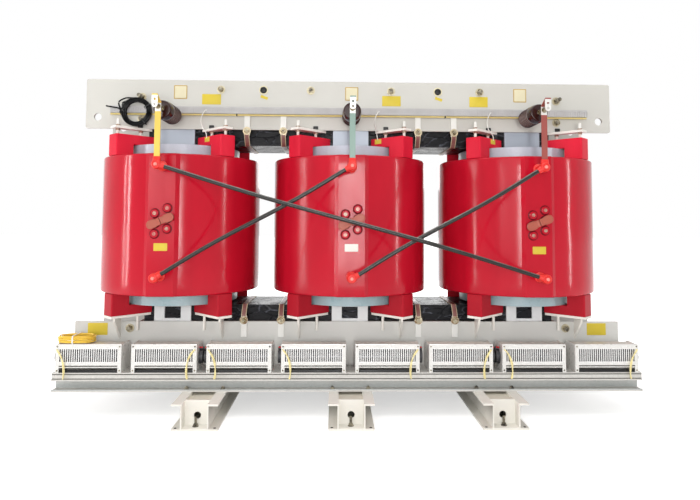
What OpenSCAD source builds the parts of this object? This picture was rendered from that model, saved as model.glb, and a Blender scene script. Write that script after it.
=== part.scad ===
// Three-phase cast-resin dry-type power transformer, high-voltage side to the front (-Y).
// Origin on the floor under the middle limb, +X along the core, +Z up, millimetres.

/* [Rails] */
// Length of a rail, front to back
rail_l = 1146; // [1100:2:1300]
// Width of a rail over its flanges
rail_w = 212; // [190:2:240]
// Height of a rail
rail_h = 120; // [100:2:140]
// Clear gap between the two webs of a rail
rail_gap = 116; // [90:2:130]
// Thickness of a rail flange
rail_flange_t = 9; // [6:1:12]
// Thickness of a rail web
rail_web_t = 6; // [5:1:9]
// Distance of the outer rails from the middle one
rail_pitch = 710; // [640:5:760]
// Recess of a rail's end plate from the rail's end
end_plate_recess = 62; // [40:2:90]
// Thickness of the end plate and of the sole plate
end_plate_t = 10; // [6:1:14]
// Diameter of the hauling hole in an end plate
haul_hole_d = 33; // [24:1:40]
// Height of the hauling hole
haul_hole_z = 52; // [42:1:70]
// Diameter of an anchor hole in a lower flange
anchor_d = 13; // [9:1:16]
// Distance between the anchor holes across a rail
anchor_span = 178; // [168:2:184]
// Distance of an anchor hole from the rail's end
anchor_inset = 18; // [15:1:30]

/* [Core] */
// Distance between neighbouring limb axes
limb_pitch = 925; // [900:5:980]
// Width of a limb
limb_w = 300; // [270:2:312]
// Depth of the core, front to back
core_depth = 334; // [320:2:340]
// Radius of the circle that the limb's steps lie on
core_r = 195; // [193:1:200]
// Height of the window between the yokes
window_h = 840; // [830:2:880]
// Height of a yoke
yoke_h = 265; // [230:5:275]
// Thickness lost at each step of a yoke
yoke_step = 14; // [8:1:18]
// Thickness of a limb tie plate
tie_t = 13; // [10:1:16]
// Width of a limb tie plate
tie_w = 190; // [160:2:194]
// Reach of a tie plate past the window, into the clamps
tie_reach = 200; // [150:5:215]

/* [Clamps] */
// Thickness of a clamp plate
clamp_t = 15; // [10:1:20]
// Height of a lower clamp, from the rails to its top edge
low_clamp_h = 306; // [290:2:330]
// Overhang of a lower clamp past the yoke's end
low_overhang = 345; // [310:5:365]
// Depth of a lower clamp's foot flange
foot_d = 80; // [60:2:90]
// Thickness of a lower clamp's foot flange
foot_t = 12; // [8:1:16]
// Height of an upper clamp
up_clamp_h = 263; // [255:1:300]
// Overhang of an upper clamp past the yoke's end
up_overhang = 325; // [280:5:350]
// Distance from a clamp's edge to the yoke's window face
clamp_edge_gap = 83; // [70:1:95]
// Diameter of a lifting hole
lift_hole_d = 40; // [30:1:50]
// Distance of a lifting hole from the plate's end
lift_inset = 62; // [40:1:80]
// Height of a lifting hole over the plate's lower edge
lift_up = 61; // [40:1:80]
// Diameter of a through bolt
bolt_d = 20; // [14:1:22]
// Clearance round a through bolt in its hole
bolt_gap = 1; // [0.5:0.1:2]

/* [Windings] */
// Outer radius of a high-voltage coil
hv_r = 418; // [400:1:425]
// Wall of a high-voltage coil
hv_wall = 80; // [60:1:90]
// Clear gap between a high-voltage coil's end and the yoke
hv_end_gap = 71; // [50:1:90]
// Radius of the coil's moulded edges
hv_edge_r = 12; // [4:1:20]
// Width of the flat terminal face on the front of a coil
face_w = 130; // [110:2:150]
// How far the terminal face stands before the coil's radius
face_proud = 6; // [4:1:14]
// Width of the slopes beside the terminal face
face_slope = 18; // [10:1:24]
// Outer radius of a low-voltage coil
lv_r = 300; // [285:1:312]
// Thickness of each of the two layers of a low-voltage coil
lv_layer = 38; // [30:1:40]
// Width of the cooling duct between the two layers
lv_duct = 12; // [8:1:12]
// Clear gap between a low-voltage coil's end and the yoke
lv_end_gap = 10; // [7:1:25]
// Number of spacers in the cooling duct
lv_spacers = 16; // [8:1:24]

/* [Support blocks] */
// Width of a support block
block_w = 88; // [72:1:96]
// Height of a support block under a low-voltage coil
block_step_h = 50; // [40:1:56]
// Clear gap between a block's inner end and the yoke
block_yoke_gap = 4; // [2:1:10]
// Outer end of a block, as a radius round the limb axis
block_out_r = 416; // [390:1:418]
// Corner radius of a block
block_edge_r = 8; // [3:1:14]
// Thickness of a seat plate or press plate
seat_t = 12; // [8:1:15]
// Width of a press plate
seat_w = 54; // [44:1:60]
// Distance of a seat's gusset from the limb axis
gusset_x = 264; // [240:2:274]
// Distance of a seat's levelling stud from the limb axis
stud_x = 172; // [160:1:190]
// Diameter of a press screw or levelling stud
screw_d = 14; // [10:1:18]

/* [Taps and terminals] */
// Distance between the two columns of tap bosses
tap_col = 60; // [50:1:72]
// Distance between tap bosses in a column
tap_row = 50; // [44:1:60]
// Rise of the right column over the left one
tap_rise = 25; // [10:1:30]
// Diameter of a tap boss
tap_d = 38; // [28:1:42]
// Height of a tap boss over the terminal face
tap_proud = 12; // [6:1:20]
// Height of the tap field over the coil's middle
tap_up = 17; // [-60:1:80]
// Distance of the upper terminals from the coil's upper end
term_edge_up = 65; // [50:1:95]
// Distance of the lower terminals from the coil's lower end
term_edge_low = 100; // [50:1:120]
// Distance of the links' plane from the terminal face
term_reach = 92; // [70:1:96]
// Diameter of a terminal's boot
boot_d = 46; // [40:1:60]
// Length of a boot's sleeves from the terminal's axis
boot_arm = 38; // [34:1:70]
// Diameter of a delta link
link_d = 20; // [16:1:30]
// Forward bow of the long delta link over the short ones
link_bow = 34; // [32:1:38]
// Swing of a delta link to both sides of its straight line
link_swing = 7; // [3:1:9]
// Width of a line bar
bar_w = 28; // [24:1:40]
// Thickness of a line bar
bar_t = 6; // [4:1:8]
// Height of a line bar's top over the upper terminals
bar_rise = 327; // [320:1:360]
// Length of a line terminal tag
tag_l = 64; // [60:1:90]
// How far a line terminal tag stands before the links' plane
tag_reach = 56; // [30:1:56]
// Diameter of a line terminal hole
tag_hole_d = 11; // [9:1:15]
// Distance between the two line terminal holes
tag_hole_gap = 24; // [20:1:34]

/* [Insulators] */
// Diameter of a post insulator over its ribs
post_d = 95; // [80:1:105]
// Diameter of a post insulator between its ribs
post_core_d = 72; // [60:1:76]
// Diameter of a post insulator's neck
post_neck_d = 22; // [16:1:22]
// Length of a post insulator
post_l = 260; // [220:2:290]
// Length of a post insulator's neck
post_neck_l = 75; // [60:1:90]
// Number of ribs on a post insulator
post_ribs = 7; // [4:1:9]
// Height of a post insulator's axis over the upper clamp's lower edge
post_up = 58; // [50:1:58]
// Diameter of the stud in a post insulator's tip
post_stud_d = 16; // [10:1:20]

/* [Wiring] */
// Length of the sensor wiring duct
duct_l = 2528; // [2440:4:2600]
// Height of the wiring duct
duct_h = 37; // [24:1:50]
// Depth of the wiring duct
duct_d = 30; // [20:1:31]
// Wall of the wiring duct
duct_wall = 2; // [1:0.5:3]
// Height of the duct's underside over the upper clamp's lower edge
duct_up = 80; // [80:1:90]
// Diameter of the sensor cable loom
loom_d = 10; // [6:1:10]

/* [Fans] */
// Number of fans in a row
fan_count = 8; // [4:2:8]
// Distance between fans
fan_pitch = 363.5; // [363:0.5:366]
// Length of a fan
fan_w = 316; // [300:1:320]
// Height of a fan
fan_h = 134; // [120:1:140]
// Depth of a fan
fan_d = 140; // [130:1:144]
// Sheet thickness of a fan casing
fan_sheet = 3; // [2:0.5:4]
// Radius of a fan's scroll
scroll_r = 62; // [56:1:62]
// Height of the guard's opening
guard_h = 69; // [60:1:74]
// Height of a fan's upper front bar
fan_bar_h = 17; // [12:1:20]
// Number of slots in a guard
slot_count = 27; // [12:1:30]
// Width of a guard slot
slot_w = 6; // [4:0.5:7]
// Radius of a fan's rotor
rotor_r = 46; // [36:1:50]
// Number of grooves between rotor blades
rotor_grooves = 24; // [12:1:30]
// Thickness of a fan motor
motor_l = 20; // [14:1:21]
// Diameter of a fan motor
motor_d = 78; // [60:1:90]

/* [Fan beams] */
// Length of a fan beam
beam_l = 2890; // [2860:2:2960]
// Distance of a fan's front from the core's middle plane
fan_front = 376; // [366:1:390]
// Height of the beam's channel
channel_h = 59; // [50:1:64]
// Depth of the beam's channel
channel_d = 60; // [50:1:70]
// Wall of the beam's channel
channel_t = 7; // [5:1:9]
// How far the channel's lips stand before the fans
channel_proud = 8; // [4:1:16]
// Height of the fan bed over the channel
bed_h = 31; // [22:1:36]
// Sheet thickness of the fan bed
bed_t = 5; // [3:1:7]

/* [Yoke straps] */
// Distance of the inner straps from the middle limb
strap_in_x = 358; // [344:1:380]
// Distance of the outer straps from the middle limb
strap_out_x = 550; // [530:1:570]
// Width of a strap
strap_w = 26; // [20:1:34]
// Thickness of a strap
strap_t = 4; // [3:0.5:6]
// Thickness of a strap's lug on the clamp
lug_t = 10; // [6:1:12]
// Diameter of the washer on a strap's end
strap_washer_d = 42; // [34:1:46]

/* [Low-voltage bars] */
// Width of a low-voltage bar
lv_bar_w = 100; // [80:2:120]
// Thickness of a low-voltage bar
lv_bar_t = 10; // [8:1:12]
// Height of a low-voltage bar over its coil
lv_bar_h = 330; // [280:2:350]
// Distance between the four holes of a low-voltage bar
lv_hole_gap = 50; // [40:1:60]
// Diameter of a low-voltage bar's hole
lv_hole_d = 14; // [11:1:18]
// Distance of the low-voltage bars from the rear clamp
lv_bar_off = 75; // [66:1:90]
// Width of the neutral bar
neutral_w = 60; // [50:1:80]
// Sideways place of a coil's neutral lead
neutral_x = 130; // [120:1:150]

/* [Hidden] */
$fn = 48;
// Overcut of a hole through a plate
cut = 1;
// Clearance between curved faces
curve_gap = 0.3;
// Heights, from the floor up
low_clamp_top = rail_h + low_clamp_h;
window_low = low_clamp_top + clamp_edge_gap;
window_top = window_low + window_h;
mid_z = window_low + window_h / 2;
hv_h = window_h - 2 * hv_end_gap;
lv_h = window_h - 2 * lv_end_gap;
up_clamp_low = window_top + clamp_edge_gap;
up_clamp_top = up_clamp_low + up_clamp_h;
hv_low = mid_z - hv_h / 2;
lv_low = mid_z - lv_h / 2;
lv_top = mid_z + lv_h / 2;
block_low = lv_low - block_step_h;
block_top = lv_top + block_step_h;
// Depths, from the core's middle plane to the front
clamp_in = core_depth / 2 + tie_t;
clamp_out = clamp_in + clamp_t;
face_y = hv_r + face_proud;
link_y = face_y + term_reach;
post_tip_y = clamp_out + post_l;
limb_x = [-limb_pitch, 0, limb_pitch];
lv_in_r = lv_r - 2 * lv_layer - lv_duct;
yoke_l = 2 * limb_pitch + limb_w;
low_clamp_l = yoke_l + 2 * low_overhang;
up_clamp_l = yoke_l + 2 * up_overhang;
// Steps of the core's section
core_steps = 4;
step_a0 = acos(limb_w / 2 / core_r);
step_a1 = asin(core_depth / 2 / core_r);
function step_a(i) = step_a0 + (step_a1 - step_a0) * i / (core_steps - 1);
// Through bolts of the clamps: over the upper yoke, under the lower one and past the yokes' ends
bolt_in_x = 215;
bolt_out_x = 692;
end_bolt_x = yoke_l / 2 + 32;
bolt_off = 31;
low_bolt_shift = 31;
up_bolt_z = window_top + yoke_h + bolt_off;
low_bolt_z = window_low - yoke_h - bolt_off;
end_bolt_in = 52;
low_end_bolt_x = end_bolt_x + low_bolt_shift;
low_end_bolt_in = 34;
end_bolt_gap = 117;
end_bolt_tail = 62;
washer_r = 22;
washer_t = 4;
nut_r = 17;
nut_t = 14;
// Plugged holes of the upper clamps
plug_x = 467;
plug_d = 36;
// Fans
bed_z = rail_h + channel_h + bed_h;
fan_top = bed_z + fan_h;
guard_top = fan_top - fan_bar_h;
guard_low = guard_top - guard_h;
fan_low_bar_h = 18;
fan_low_bar_d = 12;
fan_end_flange = 17;
end_sheet = 4;
hood_d = 78;
scroll_y = fan_front - 8 - scroll_r;
scroll_z = bed_z + 4 + scroll_r;
motor_side = [-1, 1, -1, -1, 1, 1, -1, 1];
function fan_x(i) = (i - (fan_count - 1) / 2) * fan_pitch;
// Delta links: upper and lower terminal heights
term_top = mid_z + hv_h / 2 - term_edge_up;
term_low = mid_z - hv_h / 2 + term_edge_low;
bar_top = term_top + bar_rise;
bar_foot = term_top + boot_arm;
tag_front = link_y + tag_reach;
post_z = up_clamp_low + post_up;
// Yoke straps
strap_x = [-strap_out_x, -strap_in_x, strap_in_x, strap_out_x];
strap_bolt_d = 12;
strap_bolt_drop = 9;
lug_drop = 30;
lug_up = 78;
// Wiring
duct_z = up_clamp_low + duct_up;
loom_z = duct_z - loom_d / 2 - curve_gap;
loom_y = clamp_out + lug_t + loom_d / 2 + 3;
lead_d = 6;
lead_bow = 46;
sensor_d = 4;
// Low-voltage bars
lv_bar_y = clamp_out + lv_bar_off;
lv_post_d = 46;
lv_post_z = up_clamp_low + 34;
neutral_y = clamp_out + 30;
neutral_z = up_clamp_low + lug_up + 2;
neutral_tail = 150;
neutral_end_x = limb_pitch + neutral_x + neutral_tail;
// Hanging sensor cable: coil on the upper left end bolt, and its free end to the left
coil_x = -1120;
coil_z = 1513.6;
coil_in_r = 45;
coil_out_r = 78;
coil_y0 = 226;
coil_t = 26;
cable_d = 8;
cable_tail_route = [
    [-1202, -240, 1506], [-1205, -242, 1512.5], [-1210, -244, 1518.5], [-1217, -246, 1524],
    [-1226, -247, 1529.5], [-1236, -248, 1534], [-1247, -248.5, 1537.3], [-1258, -249, 1539.6],
    [-1268, -249, 1541], [-1275, -249, 1541.6]
];
// Spare fan wire: hank on the left front fan, and its tail from that fan's motor
hank_x = -1352;
hank_y = -320;
hank_l = 180;
hank_w = 110;
hank_band = 40;
hank_h = 40;
wire_d = 6;
wire_tail_route = [
    [-1440, -306, 318.4], [-1440.5, -306, 327], [-1442, -307, 336], [-1445, -309, 345],
    [-1447, -312, 354], [-1447.2, -315, 362], [-1445.3, -318, 369]
];
// Sensor leads: from the loom down to the low-voltage coil beside a block
sensor_coil = [-1, 0, 1];
sensor_dx = [158, 150, -158];

// Shapes that repeat

// Places its child at the back as well as the front
module front_and_back() {
    children();
    mirror([0, 1, 0]) children();
}

// Extrudes a profile drawn in (y, z) along X, centred
module along_x(length) {
    translate([-length / 2, 0, 0])
        rotate([90, 0, 90]) linear_extrude(height = length) children();
}

// Extrudes a profile drawn in (x, z) from y0 towards the back
module along_y(y0, length) {
    translate([0, y0 + length, 0])
        rotate([90, 0, 0]) linear_extrude(height = length) children();
}

// Cylinder along Y from y0 towards the back
module rod_y(x, y0, z, d, length) {
    translate([x, y0, z]) rotate([-90, 0, 0]) cylinder(d = d, h = length);
}

// Rectangle with round corners, lower left corner at the origin
module round_rect(w, h, r) {
    translate([r, 0]) square([w - 2 * r, h]);
    translate([0, r]) square([w, h - 2 * r]);
    for (x = [r, w - r], y = [r, h - r]) translate([x, y]) circle(r);
}

// Tube along a route of points: rings that face half way between the two segments
function unit(v) = v / norm(v);
function heading(p, i) =
    unit((i == len(p) - 1 ? p[i] : unit(p[i + 1] - p[i]) + p[i])
        - (i == 0 ? p[i] : p[i] - (i == len(p) - 1 ? p[i] - p[i - 1] : unit(p[i] - p[i - 1]))));
function across(t) = unit(cross(t, abs(t[2]) < 0.9 ? [0, 0, 1] : [0, 1, 0]));
module tube(p, d, sides = 8) {
    n = len(p);
    rings = [for (i = [0:n - 1])
        let(t = heading(p, i), u = across(t), v = cross(t, u))
        for (k = [0:sides - 1]) p[i] + d / 2 * (cos(360 * k / sides) * u + sin(360 * k / sides) * v)];
    walls = [for (i = [0:n - 2], k = [0:sides - 1])
        let(a = i * sides + k, b = i * sides + (k + 1) % sides)
        for (face = [[a, b, b + sides], [a, b + sides, a + sides]]) face];
    first = [[for (k = [sides - 1:-1:0]) k]];
    last = [[for (k = [0:sides - 1]) (n - 1) * sides + k]];
    polyhedron(points = rings, faces = concat(first, walls, last), convexity = 6);
}

// Rails

module rail_channel() {
    web_x = rail_gap / 2;
    translate([web_x, 0]) square([rail_web_t, rail_h]);
    for (z = [0, rail_h - rail_flange_t])
        translate([web_x, z]) square([rail_w / 2 - web_x, rail_flange_t]);
}

module rail_end() {
    end_y = rail_l / 2 - end_plate_recess;
    difference() {
        translate([-rail_gap / 2 - cut, -end_y, 0])
            cube([rail_gap + 2 * cut, end_plate_t, rail_h]);
        rod_y(0, -end_y - cut, haul_hole_z, haul_hole_d, end_plate_t + 2 * cut);
    }
    translate([-rail_gap / 2 - cut, -rail_l / 2, 0])
        cube([rail_gap + 2 * cut, 2 * end_plate_recess, end_plate_t]);
}

module rail(x) {
    color("gainsboro") translate([x, 0, 0]) difference() {
        union() {
            for (s = [0, 1]) mirror([s, 0, 0]) along_y(-rail_l / 2, rail_l) rail_channel();
            front_and_back() rail_end();
        }
        for (sx = [-1, 1], sy = [-1, 1])
            translate([sx * anchor_span / 2, sy * (rail_l / 2 - anchor_inset), -cut])
                cylinder(d = anchor_d, h = rail_flange_t + 2 * cut);
    }
}

module rail_left() { rail(-rail_pitch); }
module rail_centre() { rail(0); }
module rail_right() { rail(rail_pitch); }

// Fan beams: a channel open to the front, with the folded fan bed on it

module beam_profile() {
    lip_y = fan_front + channel_proud;
    translate([-lip_y, rail_h]) difference() {
        square([channel_d, channel_h]);
        translate([-cut, channel_t]) square([channel_d - channel_t + cut, channel_h - 2 * channel_t]);
    }
    translate([-fan_front, rail_h + channel_h - cut]) square([bed_t, bed_h + cut]);
    translate([-fan_front, bed_z - bed_t]) square([fan_d, bed_t]);
}

module fan_beam() {
    color("lightgray") along_x(beam_l) beam_profile();
}

module front_fan_beam() { fan_beam(); }
module back_fan_beam() { mirror([0, 1, 0]) fan_beam(); }

// Fans

module fan_end_profile() {
    cut_y = 34;
    cut_z = 26;
    polygon([[-fan_front, bed_z], [-fan_front + fan_d, bed_z], [-fan_front + fan_d, fan_top - cut_z],
        [-fan_front + fan_d - cut_y, fan_top], [-fan_front, fan_top]]);
}

module scroll_profile() {
    back_y = -scroll_y + scroll_r;
    lip_z = fan_top - 30;
    translate([-scroll_y, scroll_z]) difference() {
        circle(r = scroll_r, $fn = 64);
        circle(r = scroll_r - fan_sheet, $fn = 64);
        translate([-2 * scroll_r, 0]) square([4 * scroll_r, 2 * scroll_r]);
        translate([-2 * scroll_r, guard_low - scroll_z]) square([2 * scroll_r, scroll_r]);
    }
    translate([back_y - fan_sheet, scroll_z - cut]) square([fan_sheet, lip_z - scroll_z + cut]);
}

module fan_sheet_profile() {
    scroll_profile();
    translate([-fan_front, guard_low - fan_low_bar_h]) square([fan_low_bar_d, fan_low_bar_h]);
    translate([-fan_front, guard_top]) square([fan_sheet, fan_bar_h]);
    translate([-fan_front, fan_top - fan_sheet]) square([hood_d, fan_sheet]);
}

module fan_casing() {
    inside = fan_w - end_sheet;
    along_x(inside) fan_sheet_profile();
    for (s = [-1, 1]) {
        translate([s * (fan_w - end_sheet) / 2, 0, 0]) along_x(end_sheet) fan_end_profile();
        translate([s * (fan_w - fan_end_flange) / 2, 0, 0]) along_x(fan_end_flange)
            translate([-fan_front, bed_z]) square([fan_sheet, fan_h]);
    }
}

module fan_casings() {
    color("whitesmoke") for (i = [0:fan_count - 1]) translate([fan_x(i), 0, 0]) fan_casing();
}

module front_fan_casings() { fan_casings(); }
module back_fan_casings() { mirror([0, 1, 0]) fan_casings(); }

module fan_guard() {
    w = fan_w - 2 * fan_end_flange;
    pitch = w / slot_count;
    rim = 4;
    along_y(-fan_front, fan_sheet) difference() {
        translate([-w / 2, guard_low]) square([w, guard_h]);
        for (k = [0:slot_count - 1])
            translate([-w / 2 + (k + 0.5) * pitch - slot_w / 2, guard_low + rim])
                square([slot_w, guard_h - 2 * rim]);
    }
}

module fan_guards() {
    color("silver") for (i = [0:fan_count - 1]) translate([fan_x(i), 0, 0]) fan_guard();
}

module front_fan_guards() { fan_guards(); }
module back_fan_guards() { mirror([0, 1, 0]) fan_guards(); }

// Grooved rotor between the end plates, on a shaft, and the flat motor outside one of them
module rotor_profile() {
    groove_r = 3;
    difference() {
        circle(r = rotor_r, $fn = 64);
        for (k = [0:rotor_grooves - 1])
            rotate(360 * k / rotor_grooves) translate([rotor_r, 0]) circle(r = groove_r, $fn = 16);
    }
}

module fan_drive(side) {
    shaft_d = 12;
    inside = fan_w - 2 * end_sheet;
    end_room = 12;
    hub_d = 30;
    hub_l = 6;
    translate([0, -scroll_y, scroll_z]) {
        along_x(inside) circle(d = shaft_d);
        along_x(inside - 2 * end_room) rotor_profile();
        translate([side * (fan_w + motor_l) / 2, 0, 0]) {
            along_x(motor_l) circle(d = motor_d - 8);
            translate([-side * (motor_l - hub_l) / 2, 0, 0]) along_x(hub_l) circle(d = motor_d);
            translate([0, 0, motor_d / 2]) cube([motor_l, hub_d, hub_l], center = true);
        }
    }
}

module fan_drives() {
    color("dimgray") for (i = [0:fan_count - 1]) translate([fan_x(i), 0, 0]) fan_drive(motor_side[i]);
}

module front_fan_drives() { fan_drives(); }
module back_fan_drives() { mirror([0, 1, 0]) fan_drives(); }

// Short lead of each front fan, from its end flange down to the channel's lip
module fan_lead(side) {
    x0 = side * (fan_w - fan_end_flange) / 2;
    inward = -side * lead_bow;
    front = -fan_front - lead_d / 2;
    start_z = guard_top - lead_d;
    drop = start_z - rail_h - channel_h - curve_gap - 0.14 * lead_d;
    tube([[x0, front + lead_d / 2 - curve_gap, start_z], [x0, front - 0.7 * lead_d, start_z],
        [x0 + 0.25 * inward, front - 1.4 * lead_d, start_z - 0.06 * drop],
        [x0 + 0.65 * inward, front - 1.5 * lead_d, start_z - 0.24 * drop],
        [x0 + 0.92 * inward, front - 1.4 * lead_d, start_z - 0.48 * drop],
        [x0 + inward, front - lead_d, start_z - 0.74 * drop],
        [x0 + 0.94 * inward, front - 0.6 * lead_d, start_z - 0.92 * drop],
        [x0 + 0.88 * inward, front - 0.4 * lead_d, start_z - drop]], lead_d);
}

module fan_leads() {
    color("khaki") for (i = [0:fan_count - 1]) translate([fan_x(i), 0, 0]) fan_lead(motor_side[i]);
}

// Core

module limb_section() {
    for (i = [0:core_steps - 1])
        square([2 * core_r * cos(step_a(i)), 2 * core_r * sin(step_a(i))], center = true);
}

module core_limbs() {
    color("darkslategray") for (x = limb_x)
        translate([x, 0, window_low]) linear_extrude(height = window_h) limb_section();
}

// Section of the upper yoke over its window face, stepped on the side away from the window
module yoke_section() {
    for (i = [0:core_steps - 1]) {
        depth = core_r * sin(step_a(i));
        translate([-depth, 0]) square([2 * depth, yoke_h - i * yoke_step]);
    }
}

module upper_yoke() {
    color("darkslategray") translate([0, 0, window_top]) along_x(yoke_l) yoke_section();
}

module lower_yoke() {
    color("darkslategray") translate([0, 0, window_low]) mirror([0, 0, 1]) along_x(yoke_l) yoke_section();
}

// Insulating boards between the yokes and the clamps
module yoke_boards() {
    board_h = 124;
    side_gap = 6;
    x0 = tie_w / 2 + side_gap;
    board_l = limb_pitch - tie_w - 2 * side_gap;
    color("burlywood") for (x = [x0, -x0 - board_l], y = [-clamp_in, core_depth / 2])
        for (z = [up_clamp_low, low_clamp_top - board_h])
            translate([x, y, z]) cube([board_l, tie_t, board_h]);
}

// Limb tie plates: slotted at the foot, where they hook on the lower clamp
module tie_plate() {
    window_w = 84;
    window_z = low_clamp_top + 14;
    slot_h = 60;
    along_y(-clamp_in, tie_t) difference() {
        translate([-tie_w / 2, window_low - tie_reach]) square([tie_w, window_h + 2 * tie_reach]);
        translate([-window_w / 2, window_z]) square([window_w, slot_h]);
    }
}

module front_tie_plates() {
    color("lightsteelblue") for (x = limb_x) translate([x, 0, 0]) tie_plate();
}
module back_tie_plates() { mirror([0, 1, 0]) front_tie_plates(); }

// Clamps

function up_bolts() = concat(
    [for (x = [-bolt_out_x, -bolt_in_x, bolt_in_x, bolt_out_x]) [x, up_bolt_z]],
    [for (s = [-1, 1], k = [0, 1]) [s * end_bolt_x, up_clamp_low + end_bolt_in + k * end_bolt_gap]]);
function low_bolts() = concat(
    [for (x = [-bolt_out_x, -bolt_in_x, bolt_in_x, bolt_out_x]) [x, low_bolt_z]],
    [for (s = [-1, 1], k = [0, 1]) [s * low_end_bolt_x, low_clamp_top - low_end_bolt_in - k * end_bolt_gap]]);

module bolt_holes(places) {
    for (p = places) rod_y(p[0], -clamp_out - cut, p[1], bolt_d + 2 * bolt_gap, clamp_t + 2 * cut);
}

module upper_clamp() {
    corner_r = 10;
    color("gainsboro") difference() {
        along_y(-clamp_out, clamp_t) translate([-up_clamp_l / 2, up_clamp_low])
            round_rect(up_clamp_l, up_clamp_h, corner_r);
        for (s = [-1, 1]) {
            rod_y(s * (up_clamp_l / 2 - lift_inset), -clamp_out - cut, up_clamp_low + lift_up,
                lift_hole_d, clamp_t + 2 * cut);
            rod_y(s * plug_x, -clamp_out - cut, up_bolt_z, plug_d, clamp_t + 2 * cut);
        }
        bolt_holes(up_bolts());
    }
}

module front_upper_clamp() { upper_clamp(); }
module back_upper_clamp() { mirror([0, 1, 0]) upper_clamp(); }

// Lower clamp: a web on a foot flange, with ribs between them
module lower_clamp() {
    rib_t = 10;
    rib_h = 70;
    color("gainsboro") difference() {
        union() {
            translate([-low_clamp_l / 2, -clamp_out, rail_h]) cube([low_clamp_l, clamp_t, low_clamp_h]);
            translate([-low_clamp_l / 2, -clamp_out - foot_d, rail_h]) cube([low_clamp_l, foot_d + cut, foot_t]);
            for (x = [-1.5, -0.5, 0.5, 1.5]) translate([x * rail_pitch, 0, rail_h]) along_x(rib_t)
                polygon([[-clamp_out + cut, foot_t - cut], [-clamp_out - foot_d, foot_t - cut],
                    [-clamp_out + cut, foot_t + rib_h]]);
        }
        bolt_holes(low_bolts());
    }
}

module front_lower_clamp() { lower_clamp(); }
module back_lower_clamp() { mirror([0, 1, 0]) lower_clamp(); }

// Through bolt from clamp to clamp, with a washer and a nut on both ends and a tail of thread
module clamp_bolt(x, z, tail) {
    rod_l = 2 * (clamp_out + washer_t + nut_t + tail);
    rod_y(x, -rod_l / 2, z, bolt_d, rod_l);
    front_and_back() {
        rod_y(x, -clamp_out - washer_t, z, 2 * washer_r, washer_t);
        translate([x, -clamp_out - washer_t - nut_t, z]) rotate([-90, 0, 0])
            cylinder(r = nut_r, h = nut_t, $fn = 6);
    }
}

module clamp_bolts() {
    tail = 8;
    color("goldenrod") {
        for (p = low_bolts()) clamp_bolt(p[0], p[1], tail);
        for (p = up_bolts())
            clamp_bolt(p[0], p[1], abs(p[0]) > bolt_out_x && p[1] > up_clamp_low + end_bolt_in + 1
                ? end_bolt_tail - washer_t - nut_t : tail);
    }
}

// Yoke straps: a band across the yoke's window face, up to a tab, a bolt and a washer on each side

module strap_band() {
    corner_y = core_depth / 2 + strap_t;
    tab_in = clamp_out + lug_t;
    tab_out = tab_in + strap_t;
    knee_z = (clamp_edge_gap - lug_drop) * 0.8;
    tab_z = clamp_edge_gap + strap_bolt_drop;
    polygon([[-tab_in, tab_z], [-tab_in, knee_z], [-corner_y, 0], [corner_y, 0], [tab_in, knee_z],
        [tab_in, tab_z], [tab_out, tab_z], [tab_out, knee_z - strap_t / 2],
        [corner_y + strap_t / 2, -strap_t], [-corner_y - strap_t / 2, -strap_t],
        [-tab_out, knee_z - strap_t / 2], [-tab_out, tab_z]]);
}

module yoke_strap() {
    tab_out = clamp_out + lug_t + strap_t;
    bolt_z = clamp_edge_gap - strap_bolt_drop;
    strap_nut_t = 10;
    strap_tail = 6;
    along_x(strap_w) strap_band();
    front_and_back() {
        rod_y(0, -tab_out - washer_t, bolt_z, strap_washer_d, washer_t + cut);
        rod_y(0, -tab_out - washer_t - strap_nut_t - strap_tail, bolt_z, strap_bolt_d, strap_nut_t + strap_tail);
        translate([0, -tab_out - washer_t - strap_nut_t, bolt_z]) rotate([-90, 0, 0])
            cylinder(r = strap_bolt_d, h = strap_nut_t, $fn = 6);
    }
}

module upper_yoke_straps() {
    color("peru") for (x = strap_x) translate([x, 0, window_top]) yoke_strap();
}

module lower_yoke_straps() {
    color("peru") for (x = strap_x) translate([x, 0, window_low]) mirror([0, 0, 1]) yoke_strap();
}

// Lug bar on a clamp's outer face, down past its edge, that a strap is bolted to
module strap_lug() {
    along_x(strap_w + 4) translate([-clamp_out - lug_t, clamp_edge_gap - lug_drop])
        square([lug_t, lug_drop + lug_up]);
}

module strap_brackets() {
    color("white") front_and_back() for (x = strap_x) {
        translate([x, 0, window_top]) strap_lug();
        translate([x, 0, window_low]) mirror([0, 0, 1]) strap_lug();
    }
}

// Windings

// Low-voltage coil: two foil layers with spacers in the cooling duct between them
module lv_coil() {
    linear_extrude(height = lv_h) {
        difference() {
            circle(r = lv_r, $fn = 96);
            circle(r = lv_r - lv_layer, $fn = 96);
        }
        difference() {
            circle(r = lv_in_r + lv_layer, $fn = 96);
            circle(r = lv_in_r, $fn = 96);
        }
        for (k = [0:lv_spacers - 1]) rotate(360 * (k + 0.5) / lv_spacers)
            translate([lv_in_r + lv_layer - cut, -4]) square([lv_duct + 2 * cut, 8]);
    }
}

module lv_windings() {
    color("lightsteelblue") for (x = limb_x) translate([x, 0, lv_low]) lv_coil();
}

// Places of the six tap bosses on a terminal face, as (x, height over the coil's middle)
function tap_places() = [for (c = [0, 1], r = [-1, 0, 1])
    [(c - 0.5) * tap_col, tap_up + r * tap_row + (c - 0.5) * tap_rise]];

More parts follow.
